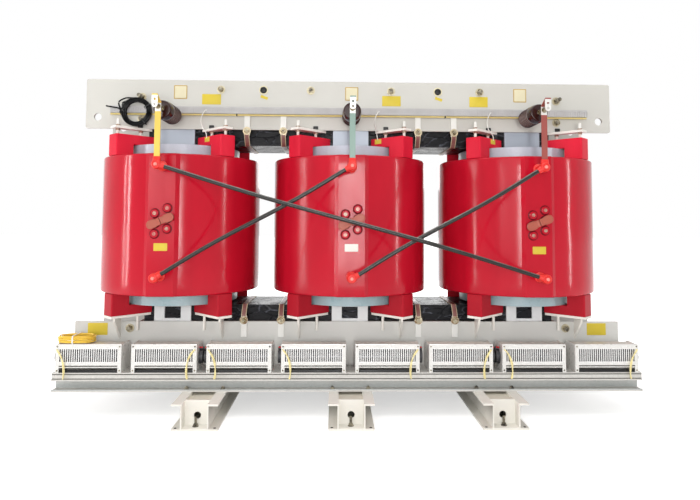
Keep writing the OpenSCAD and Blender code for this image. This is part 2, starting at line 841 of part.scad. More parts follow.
// High-voltage coil: a moulded ring with a flat terminal face and tap bosses on its front
module hv_coil(x) {
    face_d = 60;
    slope_x = face_w / 2 + face_slope;
    slope_y = sqrt(hv_r * hv_r - slope_x * slope_x) - cut;
    color("firebrick") translate([x, 0, mid_z]) {
        translate([0, 0, -hv_h / 2]) rotate_extrude($fn = 96)
            translate([hv_r - hv_wall, 0]) round_rect(hv_wall, hv_h, hv_edge_r);
        translate([0, 0, -hv_h / 2]) linear_extrude(height = hv_h)
            polygon([[-face_w / 2, -face_y], [face_w / 2, -face_y], [slope_x, -slope_y],
                [slope_x, -face_y + face_d], [-slope_x, -face_y + face_d], [-slope_x, -slope_y]]);
        for (p = tap_places()) rod_y(p[0], -face_y - tap_proud, p[1], tap_d, tap_proud + cut);
    }
}

module hv_coil_a() { hv_coil(limb_x[0]); }
module hv_coil_b() { hv_coil(limb_x[1]); }
module hv_coil_c() { hv_coil(limb_x[2]); }

// Tap link: a strip with round ends across the middle pair of bosses
module tap_link() {
    strip_w = 24;
    strip_t = 8;
    lobe_d = tap_d + 4;
    lobe_l = 16;
    span = norm([tap_col, tap_rise]);
    translate([0, -face_y - tap_proud - strip_t, mid_z + tap_up]) rotate([0, -atan2(tap_rise, tap_col), 0])
        along_y(0, strip_t) {
            square([span, strip_w], center = true);
            for (s = [-1, 1]) translate([s * span / 2, 0]) {
                circle(d = lobe_d);
                translate([s * lobe_l / 2, 0]) square([lobe_l, lobe_d], center = true);
                translate([s * lobe_l, 0]) circle(d = lobe_d);
            }
        }
}

module tap_links() {
    color("sienna") for (x = limb_x) translate([x, 0, 0]) tap_link();
}

// Support blocks, seats and press plates: four round each coil, on the diagonals

// Places its child, made for the front right of a limb, at all four corners of every limb
module round_coils() {
    for (x = limb_x, sx = [0, 1], sy = [0, 1])
        translate([x, 0, 0]) mirror([sx, 0, 0]) mirror([0, sy, 0]) children();
}

// Turns a child drawn along +X to the front right diagonal and cuts it parallel to the yoke
module clear_of_yoke() {
    room = 2 * hv_r;
    intersection() {
        rotate(-45) children();
        translate([0, -room - core_depth / 2 - block_yoke_gap, -room]) cube([room, room, 2 * room]);
    }
}

// Extrudes a profile drawn in (radius, z) across the radius
module across_radius(w) {
    translate([0, w / 2, 0]) rotate([90, 0, 0]) linear_extrude(height = w) children();
}

// Stepped block under both coils: high at the outside, low under the low-voltage coil
module support_block() {
    step_r = lv_r + (hv_r - hv_wall - lv_r) * 0.6;
    hv_gap = hv_low - block_low;
    clear_of_yoke() intersection() {
        across_radius(block_w) {
            square([block_out_r, block_step_h]);
            translate([step_r, 0]) square([block_out_r - step_r, hv_gap]);
        }
        linear_extrude(height = hv_gap) translate([0, -block_w / 2])
            round_rect(block_out_r, block_w, block_edge_r);
    }
}

module lower_blocks() {
    color("crimson") translate([0, 0, block_low]) round_coils() support_block();
}

module upper_blocks() {
    color("crimson") translate([0, 0, block_top]) mirror([0, 0, 1]) round_coils() support_block();
}

// Seat under a block: a plate on a gusset that stands off the clamp, with a levelling stud
module seat_corner() {
    gusset_t = 10;
    gusset_h = 118;
    toe_h = 18;
    stud_l = 74;
    seat_z = block_low - seat_t;
    toe_y = gusset_x + seat_w / 3;
    plate_w = block_w - 8;
    translate([0, 0, seat_z]) clear_of_yoke()
        translate([0, -plate_w / 2, 0]) cube([block_out_r, plate_w, seat_t]);
    translate([gusset_x, 0, 0]) along_x(gusset_t)
        polygon([[-clamp_out, seat_z + cut], [-toe_y, seat_z + cut], [-toe_y, seat_z - toe_h],
            [-clamp_out, seat_z - gusset_h]]);
    translate([stud_x, -clamp_out - 0.9 * screw_d, seat_z - stud_l])
        cylinder(d = screw_d, h = stud_l + cut);
}

module block_seats() {
    color("whitesmoke") round_coils() seat_corner();
}

// Press plate over a block: hangs under the upper clamp's edge, with two screws down to the block
module press_plate() {
    screw_l = up_clamp_low - seat_t - block_top;
    inner_screw = sqrt(2) * (clamp_in + screw_d / 2);
    screw_edge = 26;
    outer_screw = block_out_r - screw_edge;
    stud_up = 38;
    translate([0, 0, up_clamp_low - seat_t]) clear_of_yoke()
        translate([0, -seat_w / 2, 0]) cube([block_out_r, seat_w, seat_t]);
    rotate(-45) {
        for (r = [inner_screw, outer_screw])
            translate([r, 0, block_top]) cylinder(d = screw_d, h = screw_l + cut);
        translate([outer_screw, 0, up_clamp_low - cut]) cylinder(d = screw_d, h = stud_up + cut);
    }
}

module press_plates() {
    color("ivory") round_coils() press_plate();
}

// High-voltage terminals, delta links and line bars

// Ends of the three delta links, as [upper coil, lower coil, forward bow]
link_ends = [[0, 2, link_bow], [1, 0, 0], [2, 1, 0]];
function upper_end(k) = [limb_x[link_ends[k][0]], -link_y, term_top];
function lower_end(k) = [limb_x[link_ends[k][1]], -link_y, term_low];

// Boot on a terminal's stem, turned about Y, with a sleeve towards the link that it holds
module terminal(place, toward) {
    stem_d = 34;
    root_d = 50;
    root_t = 8;
    boot_l = 40;
    nipple_l = 8;
    nipple_d = 14;
    sleeve_d = link_d + 7;
    axis = unit(toward - place);
    translate([place[0], -face_y, place[2]]) rotate([90, 0, 0]) {
        cylinder(d = root_d, h = root_t);
        cylinder(d = stem_d, h = term_reach);
        translate([0, 0, term_reach - boot_l / 2]) cylinder(d = boot_d, h = boot_l);
        cylinder(d = nipple_d, h = term_reach + boot_l / 2 + nipple_l);
    }
    translate(place) rotate([0, acos(axis[2]), atan2(axis[1], axis[0])])
        cylinder(d = sleeve_d, h = boot_arm);
}

module bar_sleeve(place) {
    wall = 4;
    translate([place[0] - bar_w / 2 - wall, place[1] - bar_t / 2 - wall, place[2]])
        cube([bar_w + 2 * wall, bar_t + 2 * wall, boot_arm]);
}

module hv_terminals() {
    color("red") for (k = [0, 1, 2]) {
        terminal(upper_end(k), lower_end(k));
        bar_sleeve(upper_end(k));
        terminal(lower_end(k), upper_end(k));
    }
}

// Link between two boots: it swings a little to both sides, and a bowed one steps forward between its ends
function ease(t) = t * t * (3 - 2 * t);
module delta_link(k) {
    points = 18;
    bend_at = 0.2;
    lead_in = boot_arm + link_d;
    way = unit(lower_end(k) - upper_end(k));
    a = upper_end(k) + way * lead_in;
    b = lower_end(k) - way * lead_in;
    route = [for (i = [0:points])
        let(t = i / points)
        a + (b - a) * t + [0, -link_ends[k][2] * ease(min(1, min(t, 1 - t) / bend_at)),
            -link_swing * sin(360 * t)]];
    gap = way * (boot_arm + curve_gap);
    color("dimgray") tube(concat([upper_end(k) + gap], route, [lower_end(k) - gap]), link_d, 16);
}

module delta_link_1() { delta_link(0); }
module delta_link_2() { delta_link(1); }
module delta_link_3() { delta_link(2); }

// Line bar: up from the boot past the post insulator, then folded forward and up to a drilled tag
module line_bar(x) {
    fold_rise = tag_reach / 2;
    fold_z = bar_top - fold_rise;
    tag_y = -tag_front;
    tag_low = bar_top - tag_l;
    front_y = -link_y - bar_t / 2;
    back_y = -link_y + bar_t / 2;
    translate([x, 0, 0]) difference() {
        union() {
            translate([-bar_w / 2, front_y, bar_foot]) cube([bar_w, bar_t, fold_z - bar_t - bar_foot]);
            along_x(bar_w) polygon([[front_y, fold_z - bar_t], [back_y, fold_z - bar_t], [back_y, fold_z],
                [tag_y, bar_top], [tag_y, bar_top - 1.2 * bar_t], [tag_y + bar_t, bar_top - 1.2 * bar_t]]);
            along_y(tag_y, bar_t) {
                translate([-bar_w / 2, tag_low + bar_w / 2]) square([bar_w, tag_l - bar_w / 2 - 1.2 * bar_t]);
                translate([0, tag_low + bar_w / 2]) circle(d = bar_w);
            }
        }
        for (k = [0, 1])
            rod_y(0, tag_y - cut, tag_low + bar_w / 2 + k * tag_hole_gap, tag_hole_d, bar_t + 2 * cut);
    }
}

module line_bar_a() { color("gold") line_bar(limb_x[0]); }
module line_bar_b() { color("mediumaquamarine") line_bar(limb_x[1]); }
module line_bar_c() { color("indianred") line_bar(limb_x[2]); }

// Post insulator: a neck at the clamp, ribs in the middle and a plain head
module post_insulator(x) {
    head_l = 60;
    rib_pitch = (post_l - post_neck_l - head_l) / post_ribs;
    rib_t = rib_pitch / 2;
    translate([x, -clamp_out, post_z]) rotate([90, 0, 0]) {
        cylinder(d = post_neck_d, h = post_neck_l + cut);
        translate([0, 0, post_neck_l]) cylinder(d = post_core_d, h = post_l - post_neck_l);
        for (k = [0:post_ribs - 1])
            translate([0, 0, post_neck_l + k * rib_pitch]) cylinder(d = post_d, h = rib_t);
        translate([0, 0, post_l - head_l]) cylinder(d1 = post_d, d2 = post_core_d + 8, h = head_l);
    }
}

module post_insulators() {
    color("saddlebrown") for (x = limb_x) post_insulator(x);
}

// Stud and nut from the insulator's tip to the line bar's back
module post_studs() {
    stud_y = link_y - bar_t / 2;
    stud_nut_r = 14;
    stud_nut_t = 12;
    color("goldenrod") for (x = limb_x) {
        rod_y(x, -stud_y, post_z, post_stud_d, stud_y - post_tip_y);
        for (y = [stud_y, post_tip_y + stud_nut_t])
            translate([x, -y, post_z]) rotate([-90, 0, 0]) cylinder(r = stud_nut_r, h = stud_nut_t, $fn = 6);
    }
}

// Sensor wiring on the front upper clamp

module wiring_duct() {
    color("slategray") translate([0, -clamp_out - duct_d, duct_z]) difference() {
        along_x(duct_l) square([duct_d, duct_h]);
        along_x(duct_l - 2 * duct_wall) translate([duct_wall, duct_wall])
            square([duct_d - 2 * duct_wall, duct_h - 2 * duct_wall]);
    }
}

module sensor_loom() {
    color("khaki") translate([0, -loom_y, loom_z]) along_x(duct_l) circle(d = loom_d);
}

module sensor_leads() {
    color("white") for (k = [0:2]) {
        x = sensor_coil[k] * limb_pitch + sensor_dx[k];
        tip_y = sqrt(lv_r * lv_r - sensor_dx[k] * sensor_dx[k]) - lv_layer / 2;
        top_z = loom_z - loom_d / 2 - curve_gap;
        fall = top_z - lv_top - curve_gap;
        back = tip_y - loom_y;
        tube([[x, -loom_y, top_z], [x, -loom_y - 0.1 * back, top_z - 0.18 * fall],
            [x + sensor_d / 4, -loom_y - 0.45 * back, top_z - 0.43 * fall],
            [x, -loom_y - 0.8 * back, top_z - 0.66 * fall],
            [x - sensor_d / 4, -loom_y - 0.95 * back, top_z - 0.85 * fall],
            [x, -tip_y, lv_top + curve_gap]], sensor_d);
    }
}

// Low-voltage side: a drilled bar from each coil, and the neutral bar along the back

module lv_bar(x) {
    bar_end = lv_top + lv_bar_h;
    hole_edge = 30;
    translate([x, 0, 0]) difference() {
        translate([-lv_bar_w / 2, lv_bar_y, lv_top]) cube([lv_bar_w, lv_bar_t, lv_bar_h]);
        for (s = [-1, 1], k = [0, 1])
            rod_y(s * lv_hole_gap / 2, lv_bar_y - cut, bar_end - hole_edge - k * lv_hole_gap,
                lv_hole_d, lv_bar_t + 2 * cut);
    }
}

module lv_bars() {
    color("silver") for (x = limb_x) lv_bar(x);
}

module neutral_bar() {
    start_x = -limb_pitch + neutral_x - neutral_w / 2;
    hole_edge = 30;
    color("silver") difference() {
        translate([start_x, neutral_y, neutral_z]) cube([neutral_end_x - start_x, lv_bar_t, neutral_w]);
        for (k = [0, 1]) rod_y(neutral_end_x - hole_edge - k * lv_hole_gap, neutral_y - cut,
            neutral_z + neutral_w / 2, lv_hole_d, lv_bar_t + 2 * cut);
    }
}

module neutral_leads() {
    color("silver") for (x = limb_x) translate([x + neutral_x - neutral_w / 2, neutral_y, lv_top])
        cube([neutral_w, lv_bar_t, neutral_z - lv_top]);
}

module lv_posts() {
    rib_d = lv_post_d + 10;
    rib_t = 12;
    color("saddlebrown") for (x = limb_x) {
        rod_y(x, clamp_out, lv_post_z, lv_post_d, lv_bar_off);
        for (k = [1, 3]) rod_y(x, clamp_out + k * lv_bar_off / 5, lv_post_z, rib_d, rib_t);
    }
}

// Free cords: outer shape of each coil, and its tail

module cable_coil() {
    color("black") translate([coil_x, -coil_y0, coil_z]) rotate([90, 0, 0]) rotate_extrude($fn = 64)
        translate([coil_in_r, 0]) round_rect(coil_out_r - coil_in_r, coil_t, coil_t / 3);
}

module cable_tail() {
    color("black") tube(cable_tail_route, cable_d);
}

module wire_hank() {
    hole_w = hank_w - 2 * hank_band;
    hole_l = hank_l - 2 * hank_band;
    color("khaki") translate([hank_x, hank_y, fan_top + curve_gap]) linear_extrude(height = hank_h) difference() {
        translate([-hank_l / 2, -hank_w / 2]) round_rect(hank_l, hank_w, hank_w / 2 - cut);
        translate([-hole_l / 2, -hole_w / 2]) round_rect(hole_l, hole_w, hole_w / 2 - cut);
    }
}

module wire_tail() {
    color("khaki") tube(wire_tail_route, wire_d);
}

rail_left();
rail_centre();
rail_right();
front_fan_beam();
back_fan_beam();
front_fan_casings();
back_fan_casings();
front_fan_guards();
back_fan_guards();
front_fan_drives();
back_fan_drives();
fan_leads();
front_lower_clamp();
back_lower_clamp();
lower_yoke();
core_limbs();
upper_yoke();
yoke_boards();
front_tie_plates();
back_tie_plates();
front_upper_clamp();
back_upper_clamp();
clamp_bolts();
lower_yoke_straps();
upper_yoke_straps();
strap_brackets();
lv_windings();
hv_coil_a();
hv_coil_b();
hv_coil_c();
tap_links();
lower_blocks();
upper_blocks();
block_seats();
press_plates();
hv_terminals();
delta_link_1();
delta_link_2();
delta_link_3();
line_bar_a();
line_bar_b();
line_bar_c();
post_insulators();
post_studs();
wiring_duct();
sensor_loom();
sensor_leads();
lv_bars();
neutral_bar();
neutral_leads();
lv_posts();
cable_coil();
cable_tail();
wire_hank();
wire_tail();
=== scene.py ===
"""Looks of a cast-resin power transformer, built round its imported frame."""
import math

import bmesh
import bpy
import numpy as np
from mathutils import Matrix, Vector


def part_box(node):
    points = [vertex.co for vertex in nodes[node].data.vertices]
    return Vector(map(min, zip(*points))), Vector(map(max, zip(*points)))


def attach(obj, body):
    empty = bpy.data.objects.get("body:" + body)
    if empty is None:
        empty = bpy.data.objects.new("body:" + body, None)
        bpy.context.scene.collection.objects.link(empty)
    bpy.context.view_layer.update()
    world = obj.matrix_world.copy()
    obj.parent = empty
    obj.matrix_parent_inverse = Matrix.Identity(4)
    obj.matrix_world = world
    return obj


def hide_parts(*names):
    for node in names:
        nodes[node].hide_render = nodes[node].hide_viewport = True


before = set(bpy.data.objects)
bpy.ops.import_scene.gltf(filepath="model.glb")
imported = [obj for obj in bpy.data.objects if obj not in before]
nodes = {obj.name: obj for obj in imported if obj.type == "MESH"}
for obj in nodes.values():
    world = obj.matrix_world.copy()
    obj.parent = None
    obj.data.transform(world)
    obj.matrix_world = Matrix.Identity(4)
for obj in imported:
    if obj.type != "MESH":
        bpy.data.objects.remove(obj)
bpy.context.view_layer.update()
scene = bpy.context.scene
MM = 0.001


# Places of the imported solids, in mm

def box_mm(node):
    """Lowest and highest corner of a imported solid, in mm to a tenth."""
    return np.round(np.array(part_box(node)) / MM, 1)


LIMBS = np.array([box_mm("hv_coil_" + letter)[:, 0].mean() for letter in "abc"])
RAILS = np.array([box_mm("rail_" + side)[:, 0].mean() for side in ("left", "centre", "right")])
MID = box_mm("hv_coil_b")[:, 2].mean()
COIL_FACE = -box_mm("hv_terminals")[1, 1]
CLAMP_FACE = -box_mm("front_upper_clamp")[0, 1]
FAN_FRONT = -box_mm("front_fan_casings")[0, 1]
FAN_TOP = box_mm("front_fan_casings")[1, 2]
BED_TOP = box_mm("front_fan_beam")[1, 2]
POST_Z = box_mm("post_insulators")[:, 2].mean()
CABLE_X, _, CABLE_Z = box_mm("cable_coil").mean(0)
HANK_X, HANK_Y, _ = box_mm("wire_hank").mean(0)
FAN_PITCH = 363.5
FAN_X = (np.arange(8) - 3.5) * FAN_PITCH
MOTOR_SIDE = np.array([-1, 1, -1, -1, 1, 1, -1, 1])
ANCHOR_X, ANCHOR_Y, ANCHOR_R = 89.0, 555.0, 6.5
FLANGE_X = 149.5
RIB_FOOT, RIB_PITCH = 75.0, 17.8
FORWARD = (0, -1, 0)


# Camera

def aim_camera():
    """Camera fitted to rails, clamps and coils: place in metres, and yaw, pitch and roll in radians."""
    place = (-0.08208, -3.26899, 0.95296)
    yaw, pitch, roll = 0.0258, 0.0613, 0.0054
    ahead = np.array([math.sin(yaw) * math.cos(pitch), math.cos(yaw) * math.cos(pitch), math.sin(pitch)])
    side = np.array([math.cos(yaw), -math.sin(yaw), 0.0])
    top = np.cross(side, ahead)
    across = math.cos(roll) * side + math.sin(roll) * top
    upward = math.cos(roll) * top - math.sin(roll) * side
    data = bpy.data.cameras.new("front_camera")
    data.sensor_width, data.lens, data.shift_y = 36.0, 29.86, -0.093
    data.clip_start, data.clip_end = 0.05, 60.0
    camera = bpy.data.objects.new("front_camera", data)
    scene.collection.objects.link(camera)
    turn = np.eye(4)
    turn[:3, 0], turn[:3, 1], turn[:3, 2] = across, upward, -ahead
    turn[:3, 3] = place
    camera.matrix_world = Matrix(turn.tolist())
    scene.camera = camera


aim_camera()


# Shells: arrays of points in mm and of faces

def grid(points, close_u=False, close_v=False):
    """Quads between the rows and columns of a grid of points, joined round where a side closes."""
    nu, nv = points.shape[:2]
    index = np.arange(nu * nv).reshape(nu, nv)
    if close_u:
        index = np.concatenate([index, index[:1]])
    if close_v:
        index = np.concatenate([index, index[:, :1]], axis=1)
    quads = np.stack([index[:-1, :-1], index[1:, :-1], index[1:, 1:], index[:-1, 1:]], axis=-1)
    return points.reshape(-1, 3), quads.reshape(-1, 4)


def capped(rings, first, last):
    """Closed rings of points joined in order, and drawn together to a first and a last point."""
    ends = [np.broadcast_to(point, (1, *rings.shape[1:])) for point in (first, last)]
    return grid(np.concatenate([ends[0], rings, ends[1]]), close_v=True)


def level(outline, height):
    """Flat outline set at a height."""
    return np.column_stack([outline, np.full(len(outline), height)])


def join(shells):
    """One shell of several, with each one's faces counted on from the one before."""
    starts = np.cumsum([0] + [len(p) for p, _ in shells])
    return (np.concatenate([p for p, _ in shells]),
            np.concatenate([f + s for (_, f), s in zip(shells, starts)]))


def show(name, mesh, material, node, smooth):
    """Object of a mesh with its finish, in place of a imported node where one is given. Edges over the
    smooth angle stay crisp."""
    mesh.materials.clear()
    mesh.materials.append(material)
    mesh.shade_smooth()
    mesh.set_sharp_from_angle(angle=math.radians(smooth))
    made = bpy.data.objects.new(name, mesh)
    scene.collection.objects.link(made)
    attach(made, "root")
    if node:
        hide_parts(node)
    return made


def piece(name, shell, material, node=None, smooth=35.0):
    """Piece made of a shell, in metres, with its seams closed and its faces turned outward."""
    points, faces = shell
    mesh = bpy.data.meshes.new(name)
    mesh.from_pydata((points * MM).tolist(), [], faces.tolist())
    bm = bmesh.new()
    bm.from_mesh(mesh)
    bmesh.ops.remove_doubles(bm, verts=bm.verts, dist=2e-6)
    bmesh.ops.dissolve_degenerate(bm, dist=1e-7, edges=bm.edges)
    bmesh.ops.recalc_face_normals(bm, faces=bm.faces)
    bm.to_mesh(mesh)
    bm.free()
    return show(name, mesh, material, node, smooth)


def unit(v):
    """Vectors of length 1 along the given ones."""
    return v / np.linalg.norm(v, axis=-1, keepdims=True)


def curve_through(points, step):
    """Cubic line through points, sampled about every step mm by its length."""
    p = np.asarray(points, float)
    p = np.concatenate([2 * p[:1] - p[1:2], p, 2 * p[-1:] - p[-2:-1]])
    t = np.linspace(0, 1, 12, endpoint=False)[:, None, None]
    a, b, c, d = p[:-3], p[1:-2], p[2:-1], p[3:]
    line = 0.5 * (2 * b + (c - a) * t + (2 * a - 5 * b + 4 * c - d) * t ** 2
                  + (3 * b - a - 3 * c + d) * t ** 3)
    line = np.concatenate([line.transpose(1, 0, 2).reshape(-1, 3), p[-2:-1]])
    return spaced(line, step)


def spaced(line, step):
    """The same line with points a step apart along its length."""
    run = np.concatenate([[0], np.cumsum(np.linalg.norm(np.diff(line, axis=0), axis=1))])
    at = np.linspace(0, run[-1], max(3, int(round(run[-1] / step)) + 1))
    return np.stack([np.interp(at, run, line[:, k]) for k in range(3)], axis=1)


def tube(line, radius, sides=10, hint=(0.0, 0.0, 1.0)):
    """Circle of a radius carried along a line: each ring stands square to the line, and both ends close."""
    ahead = unit(np.gradient(line, axis=0))
    hint = np.asarray(hint, float)
    side = np.cross(ahead, hint)
    weak = np.linalg.norm(side, axis=1, keepdims=True) < 0.15
    side = unit(np.where(weak, np.cross(ahead, hint[[2, 0, 1]]), side))
    top = np.cross(side, ahead)
    a = np.linspace(0, 2 * np.pi, sides, endpoint=False)
    radius = np.broadcast_to(np.asarray(radius, float), (len(line),))[:, None, None]
    rings = line[:, None] + radius * (np.cos(a)[None, :, None] * side[:, None]
                                      + np.sin(a)[None, :, None] * top[:, None])
    return capped(rings, line[0], line[-1])


def eased(t):
    """Share from 0 to 1 with a soft start and a soft end."""
    return t * t * (3 - 2 * t)


# Cords

def stepped(rows, s, hold):
    """Number and values of the row at each s: a row holds for a share of its turn, then eases to the next."""
    k = np.minimum(s.astype(int), len(rows) - 2)
    ease = eased(np.clip((s - k - hold) / (1 - hold), 0, 1))[:, None]
    return k, rows[k] * (1 - ease) + rows[k + 1] * ease


def coil_line():
    """Spare control cable: rings round the coil's axis, each easing to the next ring's radius and depth over
    its last third, two of them slack at the upper left, and the last one leaving for the bare end."""
    rings = np.array([[64.0, 239.0], [56.5, 239.0], [56.5, 247.8], [56.0, 231.2], [64.6, 230.6],
                      [64.8, 247.8], [65.2, 239.0], [73.2, 239.0], [73.2, 230.8], [73.2, 247.8],
                      [73.2, 247.8]])
    start, slack_at, turns, duct_depth = math.radians(160.0), math.radians(150.0), len(rings) - 1.072, 225.0
    s = np.linspace(0, turns, 640)
    k, now = stepped(rings, s, 0.66)
    a = start - 2 * np.pi * s
    wander = 1.6 * np.sin(2 * a + 0.5) + 0.9 * np.sin(3 * a) + 0.6 * np.sin(2.3 * a + 0.7 * k)
    off = np.degrees((a - slack_at + np.pi) % (2 * np.pi) - np.pi)
    r = now[:, 0] + wander
    for number, slack, spread in ((6, 22.0, 25.0), (7, 33.0, 30.0)):
        r += np.where(k == number, slack * np.exp(-(off / spread) ** 2), 0.0)
    ring = np.stack([CABLE_X + r * np.cos(a), -now[:, 1] + 0.4 * wander, CABLE_Z + r * np.sin(a)], axis=1)
    ring[:, 1] += (rings[0, 1] - duct_depth) * np.clip(1 - s / 0.09, 0, 1) ** 2
    leave = np.array([[-1195.4, -247.6, 1513.7], [-1198.9, -247.8, 1520.6], [-1204.0, -248.1, 1526.3],
                      [-1210.4, -248.4, 1530.2], [-1217.9, -248.6, 1532.5], [-1235.0, -248.9, 1535.3],
                      [-1255.0, -249.0, 1538.5], [-1275.0, -249.0, 1541.6]])
    return curve_through(np.concatenate([ring[::4], leave]), 5.0)


def hank_line():
    """Spare fan wire: from the motor's terminals up the side and onto the hank, then rounds of two half
    circles and two straights whose radius and height step from one round to the next."""
    rise = np.array([[-1440.0, -306.0, 318.4], [-1440.5, -306.0, 327.0], [-1442.0, -307.0, 336.0],
                     [-1444.5, -308.5, 345.0], [-1445.8, -311.0, 354.0], [-1445.0, -314.0, 362.0]])
    onto_hank = np.array([[-1443.5, -320.5, 368.5], [-1437.0, -332.0, 373.0]])
    rounds = np.array([[50.0, 373.6], [50.0, 366.8], [43.0, 372.0], [43.0, 379.0], [36.0, 378.5],
                       [36.0, 371.5], [36.0, 364.5], [43.0, 365.0], [50.0, 360.0], [43.0, 358.0],
                       [36.0, 357.5], [43.0, 351.0], [50.0, 353.0], [36.0, 350.5]])
    turns = len(rounds) - 1.25
    s = np.linspace(0.0, turns, 520)
    _, now = stepped(rounds, s, 0.6)
    a = np.pi + 2 * np.pi * s + 0.06 * np.sin(3.1 * s)
    r = now[:, 0] + 1.1 * np.sin(2.7 * s + 0.4)
    straight = 35.0 * np.tanh(2.6 * np.cos(a)) + 3.0 * np.sin(1.7 * s)
    loop = np.stack([HANK_X + straight + r * np.cos(a), HANK_Y + r * np.sin(a),
                     now[:, 1] + 0.8 * np.sin(5.3 * s)], axis=1)
    return curve_through(np.concatenate([rise, onto_hank, loop[6::4]]), 5.0)


def free_cord(name, line, diameter, replaced):
    """Tube along a line, in place of the nodes that it replaces; it gets its finish further on."""
    unfinished = bpy.data.materials.new(name)
    cord = piece(name, tube(line, diameter / 2), unfinished)
    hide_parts(*replaced)
    return cord


cable = free_cord("control_cable", coil_line(), 8.0, ["cable_coil", "cable_tail"])
fan_wire = free_cord("fan_wire", hank_line(), 6.0, ["wire_hank", "wire_tail"])


# Finishes

def linear(red, green, blue):
    """Linear colour of an sRGB colour written in 0 to 255."""
    c = np.array([red, green, blue]) / 255.0
    c = np.where(c <= 0.04045, c / 12.92, ((c + 0.055) / 1.055) ** 2.4)
    return (*c.tolist(), 1.0)


def add(tree, kind, feeds=None, **settings):
    """A node with its settings, and a value or a link for each input that is named or numbered."""
    node = tree.nodes.new(kind)
    for key, value in settings.items():
        setattr(node, key, value)
    for key, value in (feeds or {}).items():
        if isinstance(value, bpy.types.NodeSocket):
            tree.links.new(value, node.inputs[key])
        else:
            node.inputs[key].default_value = value
    return node


def noise(tree, vector, scale, detail=3.0, rough=0.55):
    """Cloudy value from 0 to 1."""
    return add(tree, "ShaderNodeTexNoise",
               {"Vector": vector, "Scale": scale, "Detail": detail, "Roughness": rough}).outputs[0]


def ramp(tree, value, low, high, out_low=0.0, out_high=1.0):
    """A value moved from one range to another, and held at its ends."""
    return add(tree, "ShaderNodeMapRange", {"Value": value, "From Min": low, "From Max": high,
                                            "To Min": out_low, "To Max": out_high}).outputs[0]


def maths(tree, operation, a, b=0.0):
    """Result of one sum on two values."""
    return add(tree, "ShaderNodeMath", {0: a, 1: b}, operation=operation).outputs[0]


def mix(tree, share, a, b, how="MIX"):
    """Colour that goes from a to b with the share."""
    return add(tree, "ShaderNodeMix", {0: share, 6: a, 7: b}, data_type="RGBA", blend_type=how).outputs[2]


def stretch(tree, vector, scale):
    """Coordinates scaled along each axis."""
    return add(tree, "ShaderNodeMapping", {"Vector": vector, "Scale": scale}).outputs[0]


def look(name):
    """Group that takes a colour and a roughness and gives a colour, a roughness and a height."""
    tree = bpy.data.node_groups.new(name, "ShaderNodeTree")
    for way, extra in (("INPUT", ()), ("OUTPUT", ("Height",))):
        tree.interface.new_socket("Color", in_out=way, socket_type="NodeSocketColor")
        for label in ("Roughness", *extra):
            tree.interface.new_socket(label, in_out=way, socket_type="NodeSocketFloat")
    given = add(tree, "NodeGroupInput").outputs
    place = add(tree, "ShaderNodeTexCoord").outputs["Object"]
    return tree, given["Color"], given["Roughness"], place


def give(tree, colour, roughness, height):
    """Closes a look with what it gives."""
    add(tree, "NodeGroupOutput", {"Color": colour, "Roughness": roughness, "Height": height})
    return tree


GREY = (0.5, 0.5, 0.5, 1.0)


def sprayed_paint():
    """Stoved paint: slow clouds, fine orange peel, and a few dull handling marks along the plates."""
    tree, colour, rough, place = look("sprayed_paint")
    clouds = noise(tree, place, 1.9, 4.0)
    peel = noise(tree, place, 330.0, 2.0)
    marks = ramp(tree, noise(tree, stretch(tree, place, (1.0, 1.0, 7.0)), 11.0, 6.0, 0.7), 0.60, 0.72)
    shown = mix(tree, ramp(tree, clouds, 0.3, 0.7, 0.0, 0.16), colour, GREY, "MULTIPLY")
    shown = mix(tree, maths(tree, "MULTIPLY", marks, 0.12), shown, (0.36, 0.34, 0.31, 1.0))
    dull = maths(tree, "ADD", maths(tree, "ADD", rough, ramp(tree, clouds, 0.3, 0.7, -0.05, 0.07)),
                 maths(tree, "MULTIPLY", marks, 0.14))
    return give(tree, shown, dull, maths(tree, "ADD", maths(tree, "MULTIPLY", peel, 0.35), clouds))


def zinc_flakes():
    """Galvanised sheet: grains of the zinc as cells of uneven brightness, under a thin cloudy film."""
    tree, colour, rough, place = look("zinc_flakes")
    cells = add(tree, "ShaderNodeTexVoronoi", {"Vector": place, "Scale": 95.0}).outputs["Color"]
    tone = add(tree, "ShaderNodeSeparateColor", {0: cells}).outputs[0]
    film = noise(tree, place, 7.0, 5.0, 0.6)
    shown = mix(tree, ramp(tree, tone, 0.0, 1.0, 0.0, 0.17), colour, GREY, "MULTIPLY")
    shown = mix(tree, ramp(tree, film, 0.45, 0.75, 0.0, 0.14), shown, (0.62, 0.60, 0.57, 1.0))
    dull = maths(tree, "ADD", rough, ramp(tree, tone, 0.0, 1.0, -0.08, 0.10))
    return give(tree, shown, dull, maths(tree, "ADD", maths(tree, "MULTIPLY", tone, 0.3), film))


def drawn_metal():
    """Bare bar and sheet: fine lines drawn along the bar, with dull handling clouds over them."""
    tree, colour, rough, place = look("drawn_metal")
    lines = noise(tree, stretch(tree, place, (9.0, 9.0, 0.6)), 55.0, 4.0, 0.6)
    clouds = noise(tree, place, 16.0, 4.0)
    shown = mix(tree, ramp(tree, lines, 0.3, 0.7, 0.0, 0.25), colour, GREY, "MULTIPLY")
    shown = mix(tree, ramp(tree, clouds, 0.5, 0.75, 0.0, 0.20), shown, (0.55, 0.52, 0.48, 1.0), "MULTIPLY")
    dull = maths(tree, "ADD", rough, ramp(tree, clouds, 0.3, 0.7, -0.06, 0.12))
    return give(tree, shown, dull, lines)


